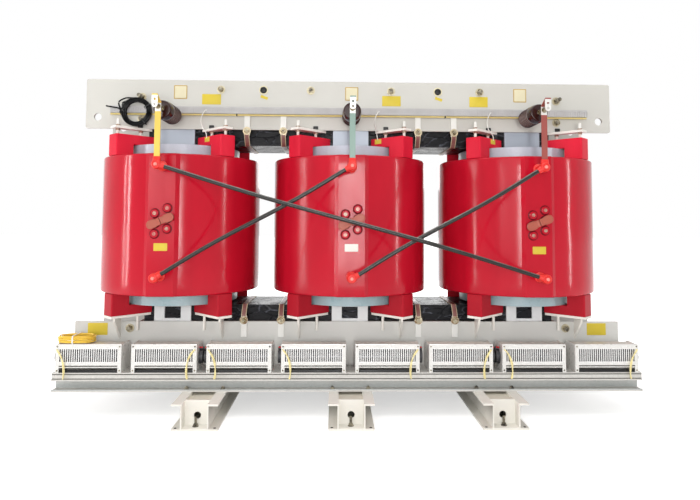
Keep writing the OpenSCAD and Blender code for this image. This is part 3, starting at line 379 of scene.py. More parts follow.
def passivated_zinc():
    """Yellow passivation: straw and pale patches that run into each other, and fine turning marks."""
    tree, colour, rough, place = look("passivated_zinc")
    patches = noise(tree, place, 60.0, 3.0, 0.6)
    fine = noise(tree, place, 600.0, 2.0)
    shown = mix(tree, ramp(tree, patches, 0.35, 0.68), colour, (0.42, 0.38, 0.28, 1.0))
    shown = mix(tree, ramp(tree, fine, 0.55, 0.75, 0.0, 0.3), shown, (0.20, 0.15, 0.09, 1.0))
    return give(tree, shown, maths(tree, "ADD", rough, ramp(tree, patches, 0.3, 0.7, -0.07, 0.1)), fine)


def cast_resin():
    """Moulded epoxy: long upright clouds of tone, slow ripples that bend reflections, and a few fine pits."""
    tree, colour, rough, place = look("cast_resin")
    clouds = noise(tree, stretch(tree, place, (1.0, 1.0, 0.35)), 5.0, 4.0)
    ripple = noise(tree, stretch(tree, place, (1.0, 1.0, 0.5)), 8.0, 1.0)
    pits = ramp(tree, noise(tree, place, 190.0, 2.0), 0.70, 0.78)
    shown = mix(tree, ramp(tree, clouds, 0.3, 0.7, 0.0, 0.34), colour, GREY, "MULTIPLY")
    shown = mix(tree, maths(tree, "MULTIPLY", pits, 0.4), shown, (0.10, 0.01, 0.01, 1.0))
    dull = maths(tree, "ADD", rough, ramp(tree, clouds, 0.35, 0.75, -0.03, 0.10))
    return give(tree, shown, dull, maths(tree, "SUBTRACT", ripple, maths(tree, "MULTIPLY", pits, 0.06)))


def crinkled_wrap():
    """Black core varnish over edge tape: sharp creases between slack folds, with bluish painted highlights
    along their crests.
    """
    tree, colour, rough, place = look("crinkled_wrap")
    drawn = stretch(tree, place, (0.55, 1.0, 1.25))
    folds = noise(tree, drawn, 24.0, 5.0, 0.6)
    shift = maths(tree, "MULTIPLY", folds, 0.05)
    bent = add(tree, "ShaderNodeVectorMath", {0: drawn, 1: shift}, operation="ADD").outputs[0]
    creases = add(tree, "ShaderNodeTexVoronoi", {"Vector": bent, "Scale": 17.0},
                  feature="DISTANCE_TO_EDGE").outputs["Distance"]
    crest = ramp(tree, creases, 0.0, 0.07, 1.0, 0.0)
    # the crests are painted a paler bluish tone as highlights
    crest_highlight = maths(tree, "MULTIPLY", crest, ramp(tree, folds, 0.45, 0.7))
    shown = mix(tree, crest_highlight, colour, (0.16, 0.17, 0.20, 1.0))
    dull = maths(tree, "ADD", rough, ramp(tree, folds, 0.3, 0.7, -0.08, 0.16))
    return give(tree, shown, dull, maths(tree, "ADD", folds, maths(tree, "MULTIPLY", crest, 0.5)))


def skin_grain():
    """Rubber, sleeving and moulded plastic: a fine matt grain with soft handling clouds."""
    tree, colour, rough, place = look("skin_grain")
    grain = noise(tree, place, 700.0, 2.0)
    clouds = noise(tree, place, 14.0, 4.0)
    shown = mix(tree, ramp(tree, clouds, 0.3, 0.7, 0.0, 0.26), colour, GREY, "MULTIPLY")
    shown = mix(tree, ramp(tree, grain, 0.5, 0.8, 0.0, 0.2), shown, GREY, "MULTIPLY")
    return give(tree, shown, maths(tree, "ADD", rough, ramp(tree, clouds, 0.3, 0.7, -0.06, 0.1)), grain)


def glass_band():
    """Resin-bonded glass tape: threads along and across it under a thin uneven film of resin."""
    tree, colour, rough, place = look("glass_band")
    weft = noise(tree, stretch(tree, place, (1.0, 1.0, 14.0)), 60.0, 2.0)
    warp = noise(tree, stretch(tree, place, (14.0, 14.0, 1.0)), 60.0, 2.0)
    weave = maths(tree, "MAXIMUM", weft, warp)
    film = noise(tree, place, 9.0, 4.0)
    shown = mix(tree, ramp(tree, weave, 0.45, 0.75, 0.0, 0.28), colour, GREY, "MULTIPLY")
    shown = mix(tree, ramp(tree, film, 0.45, 0.7, 0.0, 0.18), shown, (0.5, 0.47, 0.42, 1.0))
    return give(tree, shown, maths(tree, "ADD", rough, ramp(tree, film, 0.3, 0.7, -0.1, 0.1)), weave)


def dust_and_top_sheen():
    """Dust on whatever faces up, thicker in patches, which on the delta links stands for a painted highlight
    along their tops: a colour in, and the lightened colour out.
    """
    tree = bpy.data.node_groups.new("dust_and_top_sheen", "ShaderNodeTree")
    tree.interface.new_socket("Color", in_out="INPUT", socket_type="NodeSocketColor")
    tree.interface.new_socket("Color", in_out="OUTPUT", socket_type="NodeSocketColor")
    colour = add(tree, "NodeGroupInput").outputs["Color"]
    place = add(tree, "ShaderNodeTexCoord").outputs["Object"]
    normal = add(tree, "ShaderNodeNewGeometry").outputs["Normal"]
    up = add(tree, "ShaderNodeSeparateXYZ", {0: normal}).outputs[2]
    patch = ramp(tree, noise(tree, place, 9.0, 5.0, 0.65), 0.35, 0.7, 0.12, 0.55)
    share = maths(tree, "MULTIPLY", ramp(tree, up, 0.4, 0.95), patch)
    add(tree, "NodeGroupOutput", {"Color": mix(tree, share, colour, (0.56, 0.54, 0.50, 1.0))})
    return tree


PAINT, FLAKES, DRAWN, PASSIVE = sprayed_paint(), zinc_flakes(), drawn_metal(), passivated_zinc()
RESIN, WRAP, SKIN, BAND, DUST_AND_SHEEN = cast_resin(), crinkled_wrap(), skin_grain(), glass_band(), dust_and_top_sheen()


def finish(name, skin, colour, rough, relief, gloss=0.5, metal=0.0, dust_and_sheen=False, second=None, where=None):
    """Material over the object's own coordinates: a look with its sRGB colour, roughness and relief in
    metres. second is the (look, colour, roughness, metal) that takes over where the share of
    where(tree, x, y, z) is 1."""
    material = bpy.data.materials.new(name)
    material.use_nodes = True
    tree = material.node_tree
    shader = tree.nodes["Principled BSDF"]
    shader.inputs["Specular IOR Level"].default_value = gloss
    shader.inputs["Metallic"].default_value = metal
    first = add(tree, "ShaderNodeGroup", {"Color": linear(*colour), "Roughness": rough}, node_tree=skin)
    shown, dull, height = first.outputs
    if second:
        skin, colour, rough, other_metal = second
        other = add(tree, "ShaderNodeGroup", {"Color": linear(*colour), "Roughness": rough}, node_tree=skin)
        place = add(tree, "ShaderNodeTexCoord").outputs["Object"]
        share = where(tree, *add(tree, "ShaderNodeSeparateXYZ", {0: place}).outputs)
        shown = mix(tree, share, shown, other.outputs[0])
        dull = ramp(tree, share, 0.0, 1.0, dull, other.outputs[1])
        if other_metal != metal:
            tree.links.new(ramp(tree, share, 0.0, 1.0, metal, other_metal), shader.inputs["Metallic"])
    # dust on upward faces; on the delta links this paints a highlight along their tops
    if dust_and_sheen:
        shown = add(tree, "ShaderNodeGroup", {"Color": shown}, node_tree=DUST_AND_SHEEN).outputs[0]
    bump = add(tree, "ShaderNodeBump", {"Strength": 0.6, "Distance": relief, "Height": height})
    tree.links.new(shown, shader.inputs["Base Color"])
    tree.links.new(dull, shader.inputs["Roughness"])
    tree.links.new(bump.outputs[0], shader.inputs["Normal"])
    return material


def within(tree, value, low, high):
    """Share that is 1 where a value lies between two others."""
    over = maths(tree, "GREATER_THAN", value, low)
    return maths(tree, "MULTIPLY", over, maths(tree, "LESS_THAN", value, high))


def above(height):
    """Share that is 1 over a height in mm."""
    return lambda tree, x, y, z: maths(tree, "GREATER_THAN", z, height * MM)


def bar_ends(tree, x, y, z):
    """Share that is 1 on the bare top of a line bar, between two heights, and on the tag in front of it."""
    front = maths(tree, "LESS_THAN", y, -565.4 * MM)
    tag = maths(tree, "MULTIPLY", front, maths(tree, "LESS_THAN", z, 1533 * MM))
    return maths(tree, "MAXIMUM", within(tree, z, 1466 * MM, 1506 * MM), tag)


def channel_shade(tree, x, y, z):
    """Share that grows from 0.4 to 1 down the channel's web, between its two flanges: painted shade in the
    channel's recess.
    """
    web = within(tree, z, 127.6 * MM, 171.4 * MM)
    return maths(tree, "MULTIPLY", web, ramp(tree, z, 138 * MM, 166 * MM, 1.0, 0.4))


def flange_shade(tree, x, y, z):
    """Share that grows up the outer face of a rail's webs, by the distance from the nearest rail's middle:
    painted shade under the top flanges.
    """
    off = maths(tree, "ABSOLUTE", x)
    off = maths(tree, "MINIMUM", off, maths(tree, "ABSOLUTE", maths(tree, "SUBTRACT", off, RAILS[2] * MM)))
    web = maths(tree, "GREATER_THAN", off, 63 * MM)
    web = maths(tree, "MULTIPLY", web, maths(tree, "LESS_THAN", z, 110.8 * MM))
    return maths(tree, "MULTIPLY", web, ramp(tree, z, 24 * MM, 112 * MM, 0.0, 0.85))


def link_side_shade(tree, x, y, z):
    """Share that is 1 on the sides of a tap link, behind its front rim, which are painted shade."""
    return maths(tree, "GREATER_THAN", y, -442.2 * MM)


def at_nipples(tree, x, y, z):
    """Share that is 1 on the nipple in front of a boot's cap."""
    return maths(tree, "LESS_THAN", y, -536.5 * MM)


def strap_rims(tree, x, y, z):
    """Share that is 1 on the bolts of a strap, and along its two rims by the distance from its middle."""
    pair_x, half_pitch = 454 * MM, 96 * MM
    off = maths(tree, "ABSOLUTE", maths(tree, "SUBTRACT", maths(tree, "ABSOLUTE", x), pair_x))
    off = maths(tree, "ABSOLUTE", maths(tree, "SUBTRACT", off, half_pitch))
    bolt = maths(tree, "GREATER_THAN", maths(tree, "ABSOLUTE", y), 209.2 * MM)
    return maths(tree, "MAXIMUM", bolt, maths(tree, "GREATER_THAN", off, 10.2 * MM))


def rib_highlights(tree, x, y, z):
    """Share that is 1 on the front edge of each of a post's ribs, painted lighter as a highlight: the length
    along the post in ribs, less its whole part, against the edge's place in a rib."""
    past_foot = maths(tree, "ADD", y, (CLAMP_FACE + RIB_FOOT) * MM)
    along = maths(tree, "MULTIPLY", past_foot, -1 / (RIB_PITCH * MM))
    edge = within(tree, maths(tree, "FRACT", along), 0.43, 0.5)
    return maths(tree, "MULTIPLY", edge, within(tree, along, 0.0, 7.0))


def at_washers(tree, x, y, z):
    """Share that is 1 on the washers that lie on the clamps' outer faces."""
    return within(tree, maths(tree, "ABSOLUTE", y), (CLAMP_FACE - 0.2) * MM, (CLAMP_FACE + 4.2) * MM)


def at_motors(tree, x, y, z):
    """Share that is 1 outside the fans' end plates: the distance to the nearest fan's middle, against half a
    fan, with the middles counted from far on the left."""
    along = maths(tree, "ADD", x, 20.5 * FAN_PITCH * MM)
    off = maths(tree, "PINGPONG", along, FAN_PITCH / 2 * MM)
    return maths(tree, "GREATER_THAN", off, 157.5 * MM)


TINNED = (DRAWN, (226, 225, 221), 0.34, 0.5)
CLAMP = finish("clamp_paint", PAINT, (205, 203, 196), 0.42, 0.0004, dust_and_sheen=True, gloss=0.3)
LOW_CLAMP = finish("lower_clamp_paint", PAINT, (211, 210, 205), 0.36, 0.0004, dust_and_sheen=True, gloss=0.4)
# the rails' webs darken towards their top flanges: painted shade
RAIL = finish("rail_paint", PAINT, (236, 233, 224), 0.45, 0.0004,
              second=(PAINT, (108, 99, 86), 0.5, 0.0), where=flange_shade, gloss=0.3)
BED = finish("rail_bed_paint", PAINT, (226, 220, 204), 0.5, 0.0004, gloss=0.2)
SEAT = finish("seat_paint", PAINT, (238, 234, 226), 0.45, 0.0004, gloss=0.3)
# the channel's web takes a darker copy of the sheet: painted shade in the recess
BEAM = finish("beam_sheet", FLAKES, (204, 202, 197), 0.40, 0.0003, dust_and_sheen=True,
              second=(FLAKES, (172, 176, 174), 0.36, 0.1), where=channel_shade, metal=0.1)
CASING = finish("fan_casing_sheet", FLAKES, (226, 225, 221), 0.34, 0.0002,
                second=(FLAKES, (202, 194, 183), 0.4, 0.1), where=above(FAN_TOP - 1.0), metal=0.1)
GUARD = finish("fan_guard_sheet", DRAWN, (228, 227, 225), 0.28, 0.0002, metal=0.35)
DRIVE = finish("fan_rotor_metal", DRAWN, (132, 133, 136), 0.44, 0.0002,
               second=(SKIN, (54, 54, 57), 0.45, 0.0), where=at_motors, metal=0.6)
CORE = finish("core_varnish", WRAP, (19, 19, 22), 0.26, 0.006, gloss=0.12)
LIMB = finish("limb_varnish", WRAP, (14, 14, 16), 0.4, 0.002, gloss=0.05)
# the press boards are coloured dark to sink into the shade between core and clamp: painted shade
BOARD = finish("press_board", BAND, (70, 62, 52), 0.75, 0.0003, gloss=0.2)
TIE = finish("tie_plate_paint", PAINT, (228, 229, 229), 0.4, 0.0004,
             second=(PAINT, (169, 176, 187), 0.36, 0.15), where=above(MID))
ZINC = finish("bolt_zinc", PASSIVE, (92, 78, 46), 0.28, 0.0001,
              second=(PASSIVE, (204, 194, 164), 0.34, 0.5), where=at_washers, metal=0.9)
PALE_ZINC = (PASSIVE, (206, 186, 146), 0.36, 0.4)
STRAP = finish("yoke_strap_band", BAND, (112, 46, 38), 0.36, 0.0003, second=PALE_ZINC, where=strap_rims)
LV = finish("lv_coil_resin", BAND, (150, 176, 182), 0.30, 0.0004,
            second=(BAND, (188, 196, 209), 0.32, 0.0), where=above(MID))
HV = finish("hv_coil_resin", RESIN, (192, 20, 42), 0.14, 0.0026, gloss=0.18)
# the tap link's sides, behind its front rim, are painted dark as shade
TAP = finish("tap_link_resin", SKIN, (176, 88, 70), 0.36, 0.0003,
             second=(SKIN, (92, 32, 30), 0.4, 0.0), where=link_side_shade, gloss=0.35)
# dark red for the rings round the bosses' feet: painted shadow
HV_SHADOW = finish("hv_boss_painted_shadow", RESIN, (104, 8, 22), 0.3, 0.0004, gloss=0.1)
# below the middle the blocks take a darker copy of their red: painted shade
BLOCK = finish("support_block_resin", RESIN, (180, 22, 40), 0.36, 0.0008,
               second=(RESIN, (220, 30, 56), 0.36, 0.0), where=above(MID), gloss=0.12)
BOOT = finish("terminal_boot_rubber", SKIN, (232, 48, 42), 0.32, 0.0003,
              second=(SKIN, (246, 150, 140), 0.36, 0.0), where=at_nipples, gloss=0.4)
# on the delta links the dust look paints a highlight along their tops
LINK = finish("delta_link_sleeve", SKIN, (30, 29, 26), 0.2, 0.0003, dust_and_sheen=True, gloss=0.4)
BAR_A = finish("line_bar_yellow", PAINT, (234, 200, 82), 0.4, 0.0003, second=TINNED, where=bar_ends)
BAR_B = finish("line_bar_green", PAINT, (126, 152, 141), 0.4, 0.0003, second=TINNED, where=bar_ends)
BAR_C = finish("line_bar_red", PAINT, (152, 72, 64), 0.4, 0.0003, second=TINNED, where=bar_ends)
# the ribs' front edges are painted lighter as a highlight
POST = finish("post_insulator_resin", RESIN, (46, 18, 16), 0.1, 0.0002,
              second=(RESIN, (150, 124, 116), 0.16, 0.0), where=rib_highlights, gloss=0.35)
LV_POST = finish("lv_post_resin", RESIN, (34, 15, 14), 0.14, 0.0002, gloss=0.4)
DUCT = finish("wiring_duct_plastic", SKIN, (190, 188, 187), 0.5, 0.0002, gloss=0.3)
LEAD = finish("sensor_wire_white", SKIN, (236, 234, 228), 0.5, 0.0002)
LOOM = finish("loom_wire_yellow", SKIN, (228, 208, 138), 0.5, 0.0003, gloss=0.3)
WIRE = finish("fan_wire_yellow", SKIN, (246, 206, 78), 0.42, 0.0002, gloss=0.3)
FAN_LEAD = finish("fan_lead_yellow", SKIN, (244, 230, 168), 0.45, 0.0002, gloss=0.3)
BAR_TIN = finish("lv_bar_tin", DRAWN, (214, 213, 208), 0.34, 0.0002, metal=0.85)
CABLE = finish("control_cable_sheath", SKIN, (9, 9, 10), 0.16, 0.0002, gloss=0.2)
BLACK = finish("black_plastic", SKIN, (24, 24, 25), 0.36, 0.0002, gloss=0.3)
STEEL = finish("dark_stud_steel", PASSIVE, (50, 46, 42), 0.4, 0.0001, metal=0.25, gloss=0.3)
YELLOW = finish("bare_label_yellow", PAINT, (216, 192, 62), 0.42, 0.0002, gloss=0.3)
CREAM = finish("bare_plate_cream", PAINT, (224, 215, 182), 0.4, 0.0002, gloss=0.3)
GOLD = finish("bare_plate_rim", PAINT, (190, 158, 84), 0.4, 0.0002, gloss=0.3)
RED_CAP = finish("red_cap_plastic", SKIN, (214, 40, 50), 0.4, 0.0002, gloss=0.3)
BRACKET = finish("strap_bracket_paint", PAINT, (238, 237, 232), 0.4, 0.0004, gloss=0.3)
BRONZE = finish("strap_washer_bronze", PASSIVE, (104, 74, 42), 0.3, 0.0001, metal=0.6)
# dark strips put along lips and joints as painted shadow lines
SEAM_SHADE = finish("sheet_seam_shade", SKIN, (92, 90, 85), 0.6, 0.0002, gloss=0.1)
STRAP_NUT = finish("lock_nut_brown", PASSIVE, (128, 66, 52), 0.36, 0.0001, metal=0.4)
BRASS = finish("tap_insert_brass", PASSIVE, (176, 78, 78), 0.34, 0.0001, metal=0.3)


# Solid shells by formula, and dressed nodes

def revolve(profile, sides=48):
    """Surface of revolution: (radius, height) pairs turned about the height axis."""
    r, h = np.asarray(profile, float).T
    a = np.linspace(0, 2 * np.pi, sides, endpoint=False)
    rows = [np.outer(r, np.cos(a)), np.outer(r, np.sin(a)), np.repeat(h[:, None], sides, 1)]
    return grid(np.stack(rows, axis=-1), close_v=True)


def stand(shell, origin, axis=(0.0, 0.0, 1.0), across=(1.0, 0.0, 0.0)):
    """The shell moved so that its height runs along axis from origin, and its first side points across."""
    z = unit(np.asarray(axis, float))
    x = np.asarray(across, float)
    x = unit(x - (x @ z) * z)
    turn = np.stack([x, np.cross(z, x), z])
    return shell[0] @ turn + np.asarray(origin, float), shell[1]


def facing(shell, x, z, y=-CLAMP_FACE, across=(1.0, 0.0, 0.0)):
    """The shell turned to face forward, on the front clamp's face or at another depth."""
    return stand(shell, (x, y, z), FORWARD, across)


def turned(angle):
    """Direction across a bolt that runs along Y, by its angle from X."""
    return math.cos(angle), 0, math.sin(angle)


def both_sides(xs, y, z=0.0):
    """Places at each x, in front of the middle and behind it by y."""
    return [(x, k * y, z) for x in xs for k in (-1, 1)]


def copies(shell, origins):
    """The shell repeated at many places."""
    origins = np.asarray(origins, float)
    points = (shell[0][None] + origins[:, None]).reshape(-1, 3)
    faces = (shell[1][None] + (np.arange(len(origins)) * len(shell[0]))[:, None, None]).reshape(-1, 4)
    return points, faces


def at_limbs(shell):
    """The shell repeated at the three limbs."""
    return copies(shell, [(x, 0, 0) for x in LIMBS])


def rounded(w, h, r, n=6):
    """Outline of a rectangle whose corners are quarter circles of radius r."""
    a = np.linspace(0, np.pi / 2, n)
    a = (np.arange(4)[:, None] * np.pi / 2 + a).ravel()
    sx = np.repeat([1, -1, -1, 1], n)
    sy = np.repeat([1, 1, -1, -1], n)
    return np.stack([sx * (w / 2 - r) + r * np.cos(a), sy * (h / 2 - r) + r * np.sin(a)], axis=1)


def loft(rows):
    """Rounded rectangles (width, depth, corner, height) joined from first to last, closed at the middle of
    both ends."""
    rings = np.stack([level(rounded(w, d, r), h) for w, d, r, h in rows])
    return capped(rings, rings[0].mean(0), rings[-1].mean(0))


def slab(w, h, t, corner=3.0, edge=0.8):
    """Plate with its front edge rounded along a quarter circle."""
    s = np.linspace(0, np.pi / 2, 4)
    inset = edge * (1 - np.cos(s))
    rise = t - edge + edge * np.sin(s)
    rim = [(w - 2 * i, h - 2 * i, corner - 0.9 * i, z) for i, z in zip(inset, rise)]
    return loft([(w, h, corner, 0.0)] + rim)


def hex_nut(corner, height):
    """Hexagon whose radius at each angle is cut by a chamfer cone near both ends."""
    a = np.linspace(0, 2 * np.pi, 72, endpoint=False)
    flat = corner * math.cos(math.pi / 6)
    side = flat / np.cos((a + np.pi / 6) % (np.pi / 3) - np.pi / 6)
    c = 0.14 * height
    h = np.array([0.0, 0.0, c, height - c, height, height])
    cone = np.array([0.0, flat * 0.98, corner, corner, flat * 0.98, 0.0])
    r = np.minimum(side[None], cone[:, None])
    return grid(np.stack([r * np.cos(a), r * np.sin(a), np.repeat(h[:, None], 72, 1)], axis=-1), close_v=True)


def thread(radius, length, pitch):
    """Threaded end: the radius waves with the height less the turn, and the tip is chamfered."""
    tip = 1.6
    a = np.linspace(0, 2 * np.pi, 24, endpoint=False)[None]
    h = np.linspace(0, length, int(length / pitch * 5) + 2)[:, None]
    r = radius - 0.3 * pitch * (1 + np.cos(2 * np.pi * h / pitch - a))
    r = np.minimum(r, radius - np.clip(h - (length - tip), 0, tip))
    body = np.stack([r * np.cos(a), r * np.sin(a), h + 0 * a], axis=-1)
    return capped(body, (0.0, 0.0, 0.0), (0.0, 0.0, length))


def washer(radius, t):
    """Disc with its front rim chamfered: a stepped radius turned about the axis."""
    c = 0.7
    return revolve([(0, 0), (radius, 0), (radius, t - c), (radius - c, t), (0, t)], 40)


def dress(node, material):
    """Puts a finish on a node that keeps its own mesh."""
    slots = nodes[node].data.materials
    slots.clear()
    slots.append(material)


def rounded_copy(node, material, width):
    """Copy of a node with loose facets merged, flat facets joined and its edges rounded by a width in mm."""
    mesh = nodes[node].data.copy()
    mesh.name = node + "_dressed"
    bm = bmesh.new()
    bm.from_mesh(mesh)
    bmesh.ops.remove_doubles(bm, verts=bm.verts, dist=3e-6)
    bmesh.ops.dissolve_limit(bm, angle_limit=math.radians(0.6), verts=bm.verts, edges=bm.edges)
    bm.to_mesh(mesh)
    bm.free()
    made = show(mesh.name, mesh, material, node, 32.0)
    bevel = made.modifiers.new("edges", "BEVEL")
    bevel.width, bevel.segments, bevel.limit_method = width * MM, 2, "ANGLE"
    bevel.angle_limit, bevel.harden_normals = math.radians(50), True


# Frame, core and blocks

for side in ("left", "centre", "right"):
    rounded_copy("rail_" + side, RAIL, 1.6)
for side in ("front", "back"):
    rounded_copy(side + "_upper_clamp", CLAMP, 1.6)
    rounded_copy(side + "_lower_clamp", LOW_CLAMP, 1.6)
    rounded_copy(side + "_tie_plates", TIE, 1.2)
    rounded_copy(side + "_fan_beam", BEAM, 1.0)
    dress(side + "_fan_casings", CASING)
    dress(side + "_fan_guards", GUARD)
    dress(side + "_fan_drives", DRIVE)
rounded_copy("block_seats", SEAT, 1.2)
rounded_copy("press_plates", SEAT, 1.2)
rounded_copy("strap_brackets", BRACKET, 1.0)
rounded_copy("upper_yoke_straps", STRAP, 0.8)
rounded_copy("lower_yoke_straps", STRAP, 0.8)
rounded_copy("lower_blocks", BLOCK, 3.0)
rounded_copy("upper_blocks", BLOCK, 3.0)
rounded_copy("lv_windings", LV, 1.5)
dress("lower_yoke", CORE)
dress("upper_yoke", CORE)
dress("core_limbs", LIMB)
dress("yoke_boards", BOARD)


def clamp_bolts():
    """Through bolts: a plain rod, and at both ends a washer, a nut turned at random and a threaded tail."""
    turn = np.random.default_rng(11)
    long_z, long_tail, short_tail = 1601.0, 44.0, 8.0
    inner = [(x, z) for z in (1645.0, 213.0) for x in (-692.0, -215.0, 215.0, 692.0)]
    corners = ((1107.0, 1484.0), (1107.0, long_z), (1138.0, 392.0), (1138.0, 275.0))
    outer = [(s * x, z) for x, z in corners for s in (-1, 1)]
    rod = revolve([(0, 0), (10, 0), (10, 2 * CLAMP_FACE), (0, 2 * CLAMP_FACE)], 24)
    end = join([washer(22.0, 4.0), stand(hex_nut(17.0, 14.0), (0, 0, 4.0))])
    shells, tails = [], []
    for x, z in inner + outer:
        screw = stand(thread(10.0, long_tail if z == long_z else short_tail, 2.5), (0, 0, 18.0))
        for s in (-1, 1):
            foot = (x, s * CLAMP_FACE, z)
            shells.append(stand(end, foot, (0, s, 0), turned(turn.uniform(0, 2 * np.pi))))
            tails.append(stand(screw, foot, (0, s, 0)))
        shells.append(stand(rod, (x, -CLAMP_FACE, z), (0, 1, 0)))
    piece("clamp_through_bolts", join(shells), ZINC, "clamp_bolts")
    piece("clamp_bolt_tails", join(tails), STEEL)


def strap_nuts():
    """Nuts of the yoke straps over their washers, each turned at random, with a bronze spring washer under it
    and a dark screw end in the middle."""
    turn = np.random.default_rng(23)
    nut, end = hex_nut(13.4, 10.3), thread(6.6, 6.1, 1.75)
    nuts, ends, rings = [], [], []
    for x in (-550.0, -358.0, 358.0, 550.0):
        for z in (1423.0, 435.0):
            ring = washer(15.0 if z > MID else 20.2, 1.6)
            for k in (-1, 1):
                across = turned(turn.uniform(0, 2 * np.pi))
                nuts.append(stand(nut, (x, k * 213.0, z), (0, k, 0), across))
                ends.append(stand(end, (x, k * 223.1, z), (0, k, 0)))
                rings.append(stand(ring, (x, k * 212.8, z), (0, k, 0)))
    piece("strap_nuts", join(nuts), ZINC)
    piece("strap_screw_ends", join(ends), STEEL)
    piece("strap_spring_washers", join(rings), BRONZE)


clamp_bolts()
strap_nuts()


# Coils, links and posts

def cast_coil(name, x, node):
    """High-voltage coil: at each angle the wall's radius is the circle's, or that of the flat terminal face
    and its two slopes where these stand further out; a rounded section is carried round that line."""
    r, wall, half, e = 418.0, 80.0, 349.0, 9.0
    face_x, foot_x = 65.0, 83.0
    face, foot = np.array([face_x, COIL_FACE]), np.array([foot_x, math.sqrt(r ** 2 - foot_x ** 2)])
    t1, t2 = math.atan2(*face), math.atan2(*foot)
    a = np.concatenate([np.linspace(-t1, t1, 9)[:-1], np.linspace(t1, t2, 4)[:-1],
                        np.linspace(t2, 2 * np.pi - t2, 181)[:-1], np.linspace(-t2, -t1, 4)[:-1]])
    off = np.abs((a + np.pi) % (2 * np.pi) - np.pi)
    d = foot - face
    slope = (d[0] * face[1] - d[1] * face[0]) / (d[0] * np.cos(off) - d[1] * np.sin(off))
    outer = np.where(off <= t1 + 1e-9, face[1] / np.cos(off), np.where(off < t2 - 1e-9, slope, r))
    q = np.linspace(0, np.pi / 2, 6)
    bend_in, bend_up = e * (1 - np.cos(q)), e * np.sin(q)
    rise = np.linspace(-half + e, half - e, 15)[1:-1]
    inset = np.concatenate([bend_in[::-1], 0 * rise, bend_in])
    height = np.concatenate([-half + e - bend_up[::-1], rise, half - e + bend_up])
    out_rows = outer[None] - inset[:, None]
    in_rows = np.repeat((r - wall + inset[::-1])[:, None], len(a), 1)
    radius = np.concatenate([out_rows, in_rows])
    height = np.concatenate([height, height[::-1]])[:, None] + 0 * radius
    points = np.stack([x + radius * np.sin(a), -radius * np.cos(a), MID + height], axis=-1)
    piece(name, grid(points, close_u=True, close_v=True), HV, node, 25.0)


for letter, x in zip("abc", LIMBS):
    cast_coil("cast_coil_" + letter, x, "hv_coil_" + letter)


def tap_fields():
    """Six round bosses on each terminal face with a sunk rim, a threaded insert in the four free ones, and a
    two-part link over the middle pair: long lobes with a sunk middle and a neck between them, split at the
    middle. A dark ring round each boss's foot is painted shadow."""
    col, row, rise, middle_z = 60.0, 50.0, 25.0, MID + 17.0
    insert_y, link_y = -COIL_FACE - 10.3, -COIL_FACE - 12.0
    steps = [(c, k) for c in (-0.5, 0.5) for k in (-1, 0, 1)]
    places = np.array([(c * col, middle_z + k * row + c * rise) for c, k in steps])
    free = places[[0, 2, 3, 5]]
    boss = revolve([(0, 0), (21.5, 0), (19.6, 1.6), (19, 4), (19, 9.6), (18.2, 11.4), (16.6, 12), (12.2, 12),
                    (11.4, 10.4), (0, 10.4)], 40)
    insert = revolve([(0, 0), (8.6, 0), (8.6, 1.0), (7.8, 1.7), (4.6, 1.7), (4.0, 0.2), (0, 0.2)], 32)
    shadow_ring = revolve([(18.4, 0), (24.6, 0), (24.2, 0.7), (18.4, 2.2)], 40)

    def field(shell, spots, y=-COIL_FACE):
        """The shell at the given spots of all three terminal faces."""
        return copies(facing(shell, 0, 0, y), [(x + p[0], 0, p[1]) for x in LIMBS for p in spots])

    piece("tap_bosses", field(boss, places), HV)
    # dark rings round the bosses' feet: painted shadow
    piece("tap_boss_shadow_rings", field(shadow_ring, places), HV_SHADOW)
    piece("tap_inserts", field(insert, free, insert_y), BRASS)
    span, lobe, neck, run = math.hypot(col, rise) / 2, 21.0, 17.0, 16.0
    u = np.linspace(1.2, span + run + lobe, 48)
    past = np.clip(np.abs(u - span - run / 2) - run / 2, 0, None)
    half = np.maximum(np.where(u < span, neck, 0), np.sqrt(np.maximum(lobe ** 2 - past ** 2, 0)))
    line = np.concatenate([np.stack([u, half], 1), np.stack([u[::-1], -half[::-1]], 1)])
    middle = np.array([span + run / 2, 0.0])
    rows = [(1.0, 0.0), (1.0, 6.4), (0.985, 7.4), (0.95, 8.0), (0.84, 8.0), (0.80, 6.9), (0.6, 6.9)]
    rings = np.stack([level(middle + k * (line - middle), h) for k, h in rows])
    part = capped(rings, np.append(middle, rows[0][1]), np.append(middle, rows[-1][1]))
    tilt = np.array([col, 0.0, rise]) / math.hypot(col, rise)
    pair = join([facing(part, 0, middle_z, link_y, s * tilt) for s in (1, -1)])
    piece("tap_link_pairs", at_limbs(pair), TAP, "tap_links")


tap_fields()


def terminal_ends():
    """Upper end, lower end and forward bow of each delta link, in mm."""
    y, top_z, low_z = -516.0, 1213.0, 680.0
    return [(np.array([LIMBS[a], y, top_z]), np.array([LIMBS[b], y, low_z]), bow)
            for a, b, bow in ((0, 2, 34.0), (1, 0, 0.0), (2, 1, 0.0))]


